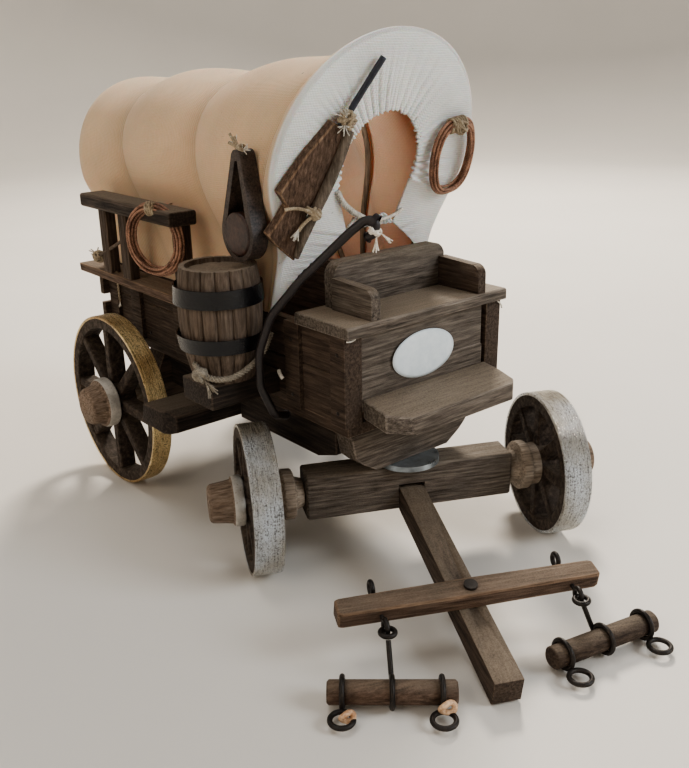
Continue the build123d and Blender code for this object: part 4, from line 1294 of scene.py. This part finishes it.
# lariat bindings, canteen knot, rack twine
front, rear = lariats["front"], lariats["rear"]
frontTop = front["origin"] + (front["yDir"] * 12.6 - front["xDir"] * 0.5) * mm
turns = wrapSplines(frontTop, front["xDir"], 2.6, 6, 1.15, hoodOut, 0.9)
knot = knotSplines(frontTop + hoodOut * 2.2 * mm, 2.4, 9, 51)
newCurve("lariatFrontBinding", turns + knot, 0.42, twineFinish)
rearTop = rear["origin"] + rear["yDir"] * 11.4 * mm
turns = wrapSplines(rearTop, rear["xDir"], 2.5, 4, 1.1, rear["yDir"].cross(rear["xDir"]), 0.9)
knot = knotSplines(near(rearTop, -1.0, -0.6, 1.4), 2.4, 8, 53)
newCurve("lariatRearBinding", turns + knot, 0.42, twineFinish)
canteenTop = wagonPoint(-47.0, 39.5, 150.2)
strands = fraySplines(canteenTop, (-0.3, 0.9, 0.8), 4, 7.0, 0.30, 58)
newCurve("canteenKnot", knotSplines(canteenTop, 2.0, 6, 57) + strands, 0.5, twineFinish)
fray = fraySplines(near(canteenTop, 0, 1.5, 1.5), (-0.2, 0.7, 0.9), 12, 4.6, 0.55, 59)
fray += fraySplines(canteenTop, (0.2, -1, 0.4), 10, 4.2, 0.5, 60)
newCurve("canteenKnotFray", fray, 0.17, paleTwineFinish, sides=1)
postFoot = wagonPoint(-49.0, 151.5, 99.0)
newCurve("rackTwine", knotSplines(postFoot, 2.4, 8, 61), 0.5, twineFinish)
fray = fraySplines(postFoot, (-0.5, 0.6, 0.8), 10, 5.0, 0.7, 62)
newCurve("rackTwineFray", fray, 0.2, twineFinish, sides=1)
stick = [postFoot, wagonPoint(-48.6, 138.0, 104.6), wagonPoint(-48.4, 124.5, 110.6)]
taperedRod("rackStick", stick, (0.8, 0.8, 0.6), woodFinish("barrel", "none", 0.0, 0.2), sides=8)
cordEnd = [wagonPoint(-47.4, 139.0, 94.0), wagonPoint(-47.2, 139.3, 88.0), wagonPoint(-47.4, 138.6, 80.5)]
twistedRope("rackCordEnd", cordEnd, 0.55, 2, 2.6, twineFinish)
fray = fraySplines(wagonPoint(-47.4, 138.6, 80.8), (0, 0, -1), 7, 2.6, 0.3, 63)
newCurve("rackCordFray", fray, 0.2, whiteStringFinish, sides=1)

# twine scraps on the rack board
scraps = []
draw = random.Random(71)
for _ in range(26):
    along = draw.uniform(89, 112)
    place = wagonPoint(-49.8 + draw.uniform(0.8, 7.0), along, 125.2 - (along - 88) * 3.5 / 77 + 0.35)
    heading = draw.uniform(0, 6.28)
    reach = draw.uniform(1.2, 3.4)
    tip = Vector((math.cos(heading), math.sin(heading), draw.uniform(0, 0.5))) * reach * mm
    scraps.append([place, near(place + tip * 0.5, 0, 0, draw.uniform(0.1, 0.8)), place + tip])
newCurve("rackScraps", scraps, 0.28, twineFinish, sides=1)

# rope lashed round the barrel's foot and its shelf
ropeRoute = (
    (-66.6, 46.0, 80.5), (-66.0, 39.5, 77.0), (-60.5, 34.8, 76.2), (-53.0, 33.2, 78.8), (-46.0, 34.0, 83.0),
    (-40.2, 37.0, 88.0),
)
twistedRope("barrelRope", [wagonPoint(*place) for place in ropeRoute], 1.1, 3, 3.6, ropeFinish)
ropeKnot = wagonPoint(-67.0, 42.2, 77.4)
newCurve("barrelRopeKnot", knotSplines(ropeKnot, 2.6, 7, 73), 0.8, ropeFinish)
fray = fraySplines(near(ropeKnot, 0.5, -1.5, -1.5), (0.35, -0.75, -0.9), 20, 7.0, 0.34, 74)
newCurve("barrelRopeFray", fray, 0.26, ropeFinish, sides=1)
string = [wagonPoint(-40.0, 33.8, 74.6), wagonPoint(-41.0, 32.2, 73.8), wagonPoint(-40.4, 31.0, 72.4)]
newCurve("shelfString", [string], 0.7, whiteStringFinish)
print("twine and knots tied")


# blank oval label, nail heads, small strings
labelShape = {
    "x": -1.8, "z": 80.7, "ahead": 0.32, "wide": 14.9, "high": 8.5, "rings": 8, "around": 72, "paper": 0.15,
}


def makeLabel(shape):
    # a plain white oval with nothing on it
    rings, around = shape["rings"], shape["around"]
    verts = [wagonPoint(shape["x"], -shape["ahead"], shape["z"])]
    for ring in range(1, rings + 1):
        r = ring / rings
        lift = 0.30 if r < 0.98 else 0.12
        for step in range(around):
            angle = step / around * fullTurn
            across, up = r * math.cos(angle), r * math.sin(angle)
            wave = 0.05 * noise.noise(Vector((across * 3, up * 3, 2)))
            x, z = shape["x"] + shape["wide"] * across, shape["z"] + shape["high"] * up
            verts.append(wagonPoint(x, -lift - wave, z))
    label = newPiece("blankLabel", verts, discFaces(0, 1, rings, around), [labelFinish])
    thick = label.modifiers.new("paper", "SOLIDIFY")
    thick.thickness = shape["paper"] * mm


makeLabel(labelShape)
sidePosts = ((0.0, 7.5), (24.7, 8.0), (64.0, 8.0), (102.0, 8.0), (127.0, 8.0), (151.5, 8.5))  # front, width
nailSetup = {  # the dome's rings: reach and lift as shares of the radius
    "radius": 0.7, "out": 38.0, "heights": (66.5, 87.0), "dome": ((1.0, 0.0), (0.95, 0.24), (0.6, 0.4)),
}


def makeNailHeads(setup):
    # low domed heads, one joined mesh
    radius, around = setup["radius"], 12
    verts, faces = [], []
    spots = [
        (side, postY + postWide / 2, height)
        for side in (-1, 1) for postY, postWide in sidePosts for height in setup["heights"]
    ]
    for side, y, z in spots:
        place = wagonPoint(side * setup["out"], y, z)
        out = Vector((side, 0, 0))
        a = out.orthogonal().normalized()
        b = out.cross(a)
        start = len(verts)
        for reach, lift in setup["dome"]:
            for step in range(around):
                rim = turnFrom(a, b, step / around * fullTurn) * reach
                verts.append(place + (rim + out * lift) * radius * mm)
        faces += tubeFaces(start, len(setup["dome"]), around, startCap=False)
    newPiece("postNails", verts, faces, [ironFinish])


makeNailHeads(nailSetup)
postStrings = [
    [wagonPoint(35.6, -0.6, 92.4), wagonPoint(37.6, -0.9, 91.6), wagonPoint(38.3, -0.6, 89.4)],
    [wagonPoint(-33.6, -0.5, 92.6), wagonPoint(-35.4, -0.8, 92.0), wagonPoint(-37.4, -0.6, 92.4)],
]
newCurve("postStrings", postStrings, 0.28, whiteStringFinish)

# leather bits left on the right-hand singletree's hooks: their places and size
leatherPlaces = ((-46.9, -92.6, 3.3, 1.7), (-18.6, -97.4, 4.2, 2.0))
steeredX, steeredY = (steeredPoint(*unit) - steeredPoint(0, 0, 0) for unit in ((1, 0, 0), (0, 1, 0)))
bits = []
for x, y, z, size in leatherPlaces:
    centre = steeredPoint(x, y, z)
    bit = []
    for t in (k * 0.6 for k in range(12)):
        spot = steeredX * (math.cos(t) * size * 1.1) + steeredY * (math.sin(2 * t) * 0.5)
        bit.append(near(centre + spot, 0, 0, math.sin(t) * size * 0.8))
    bits.append(bit)
newCurve("leatherBits", bits, 0.9, leatherFinish, "singletree_right")
print("small fittings done")
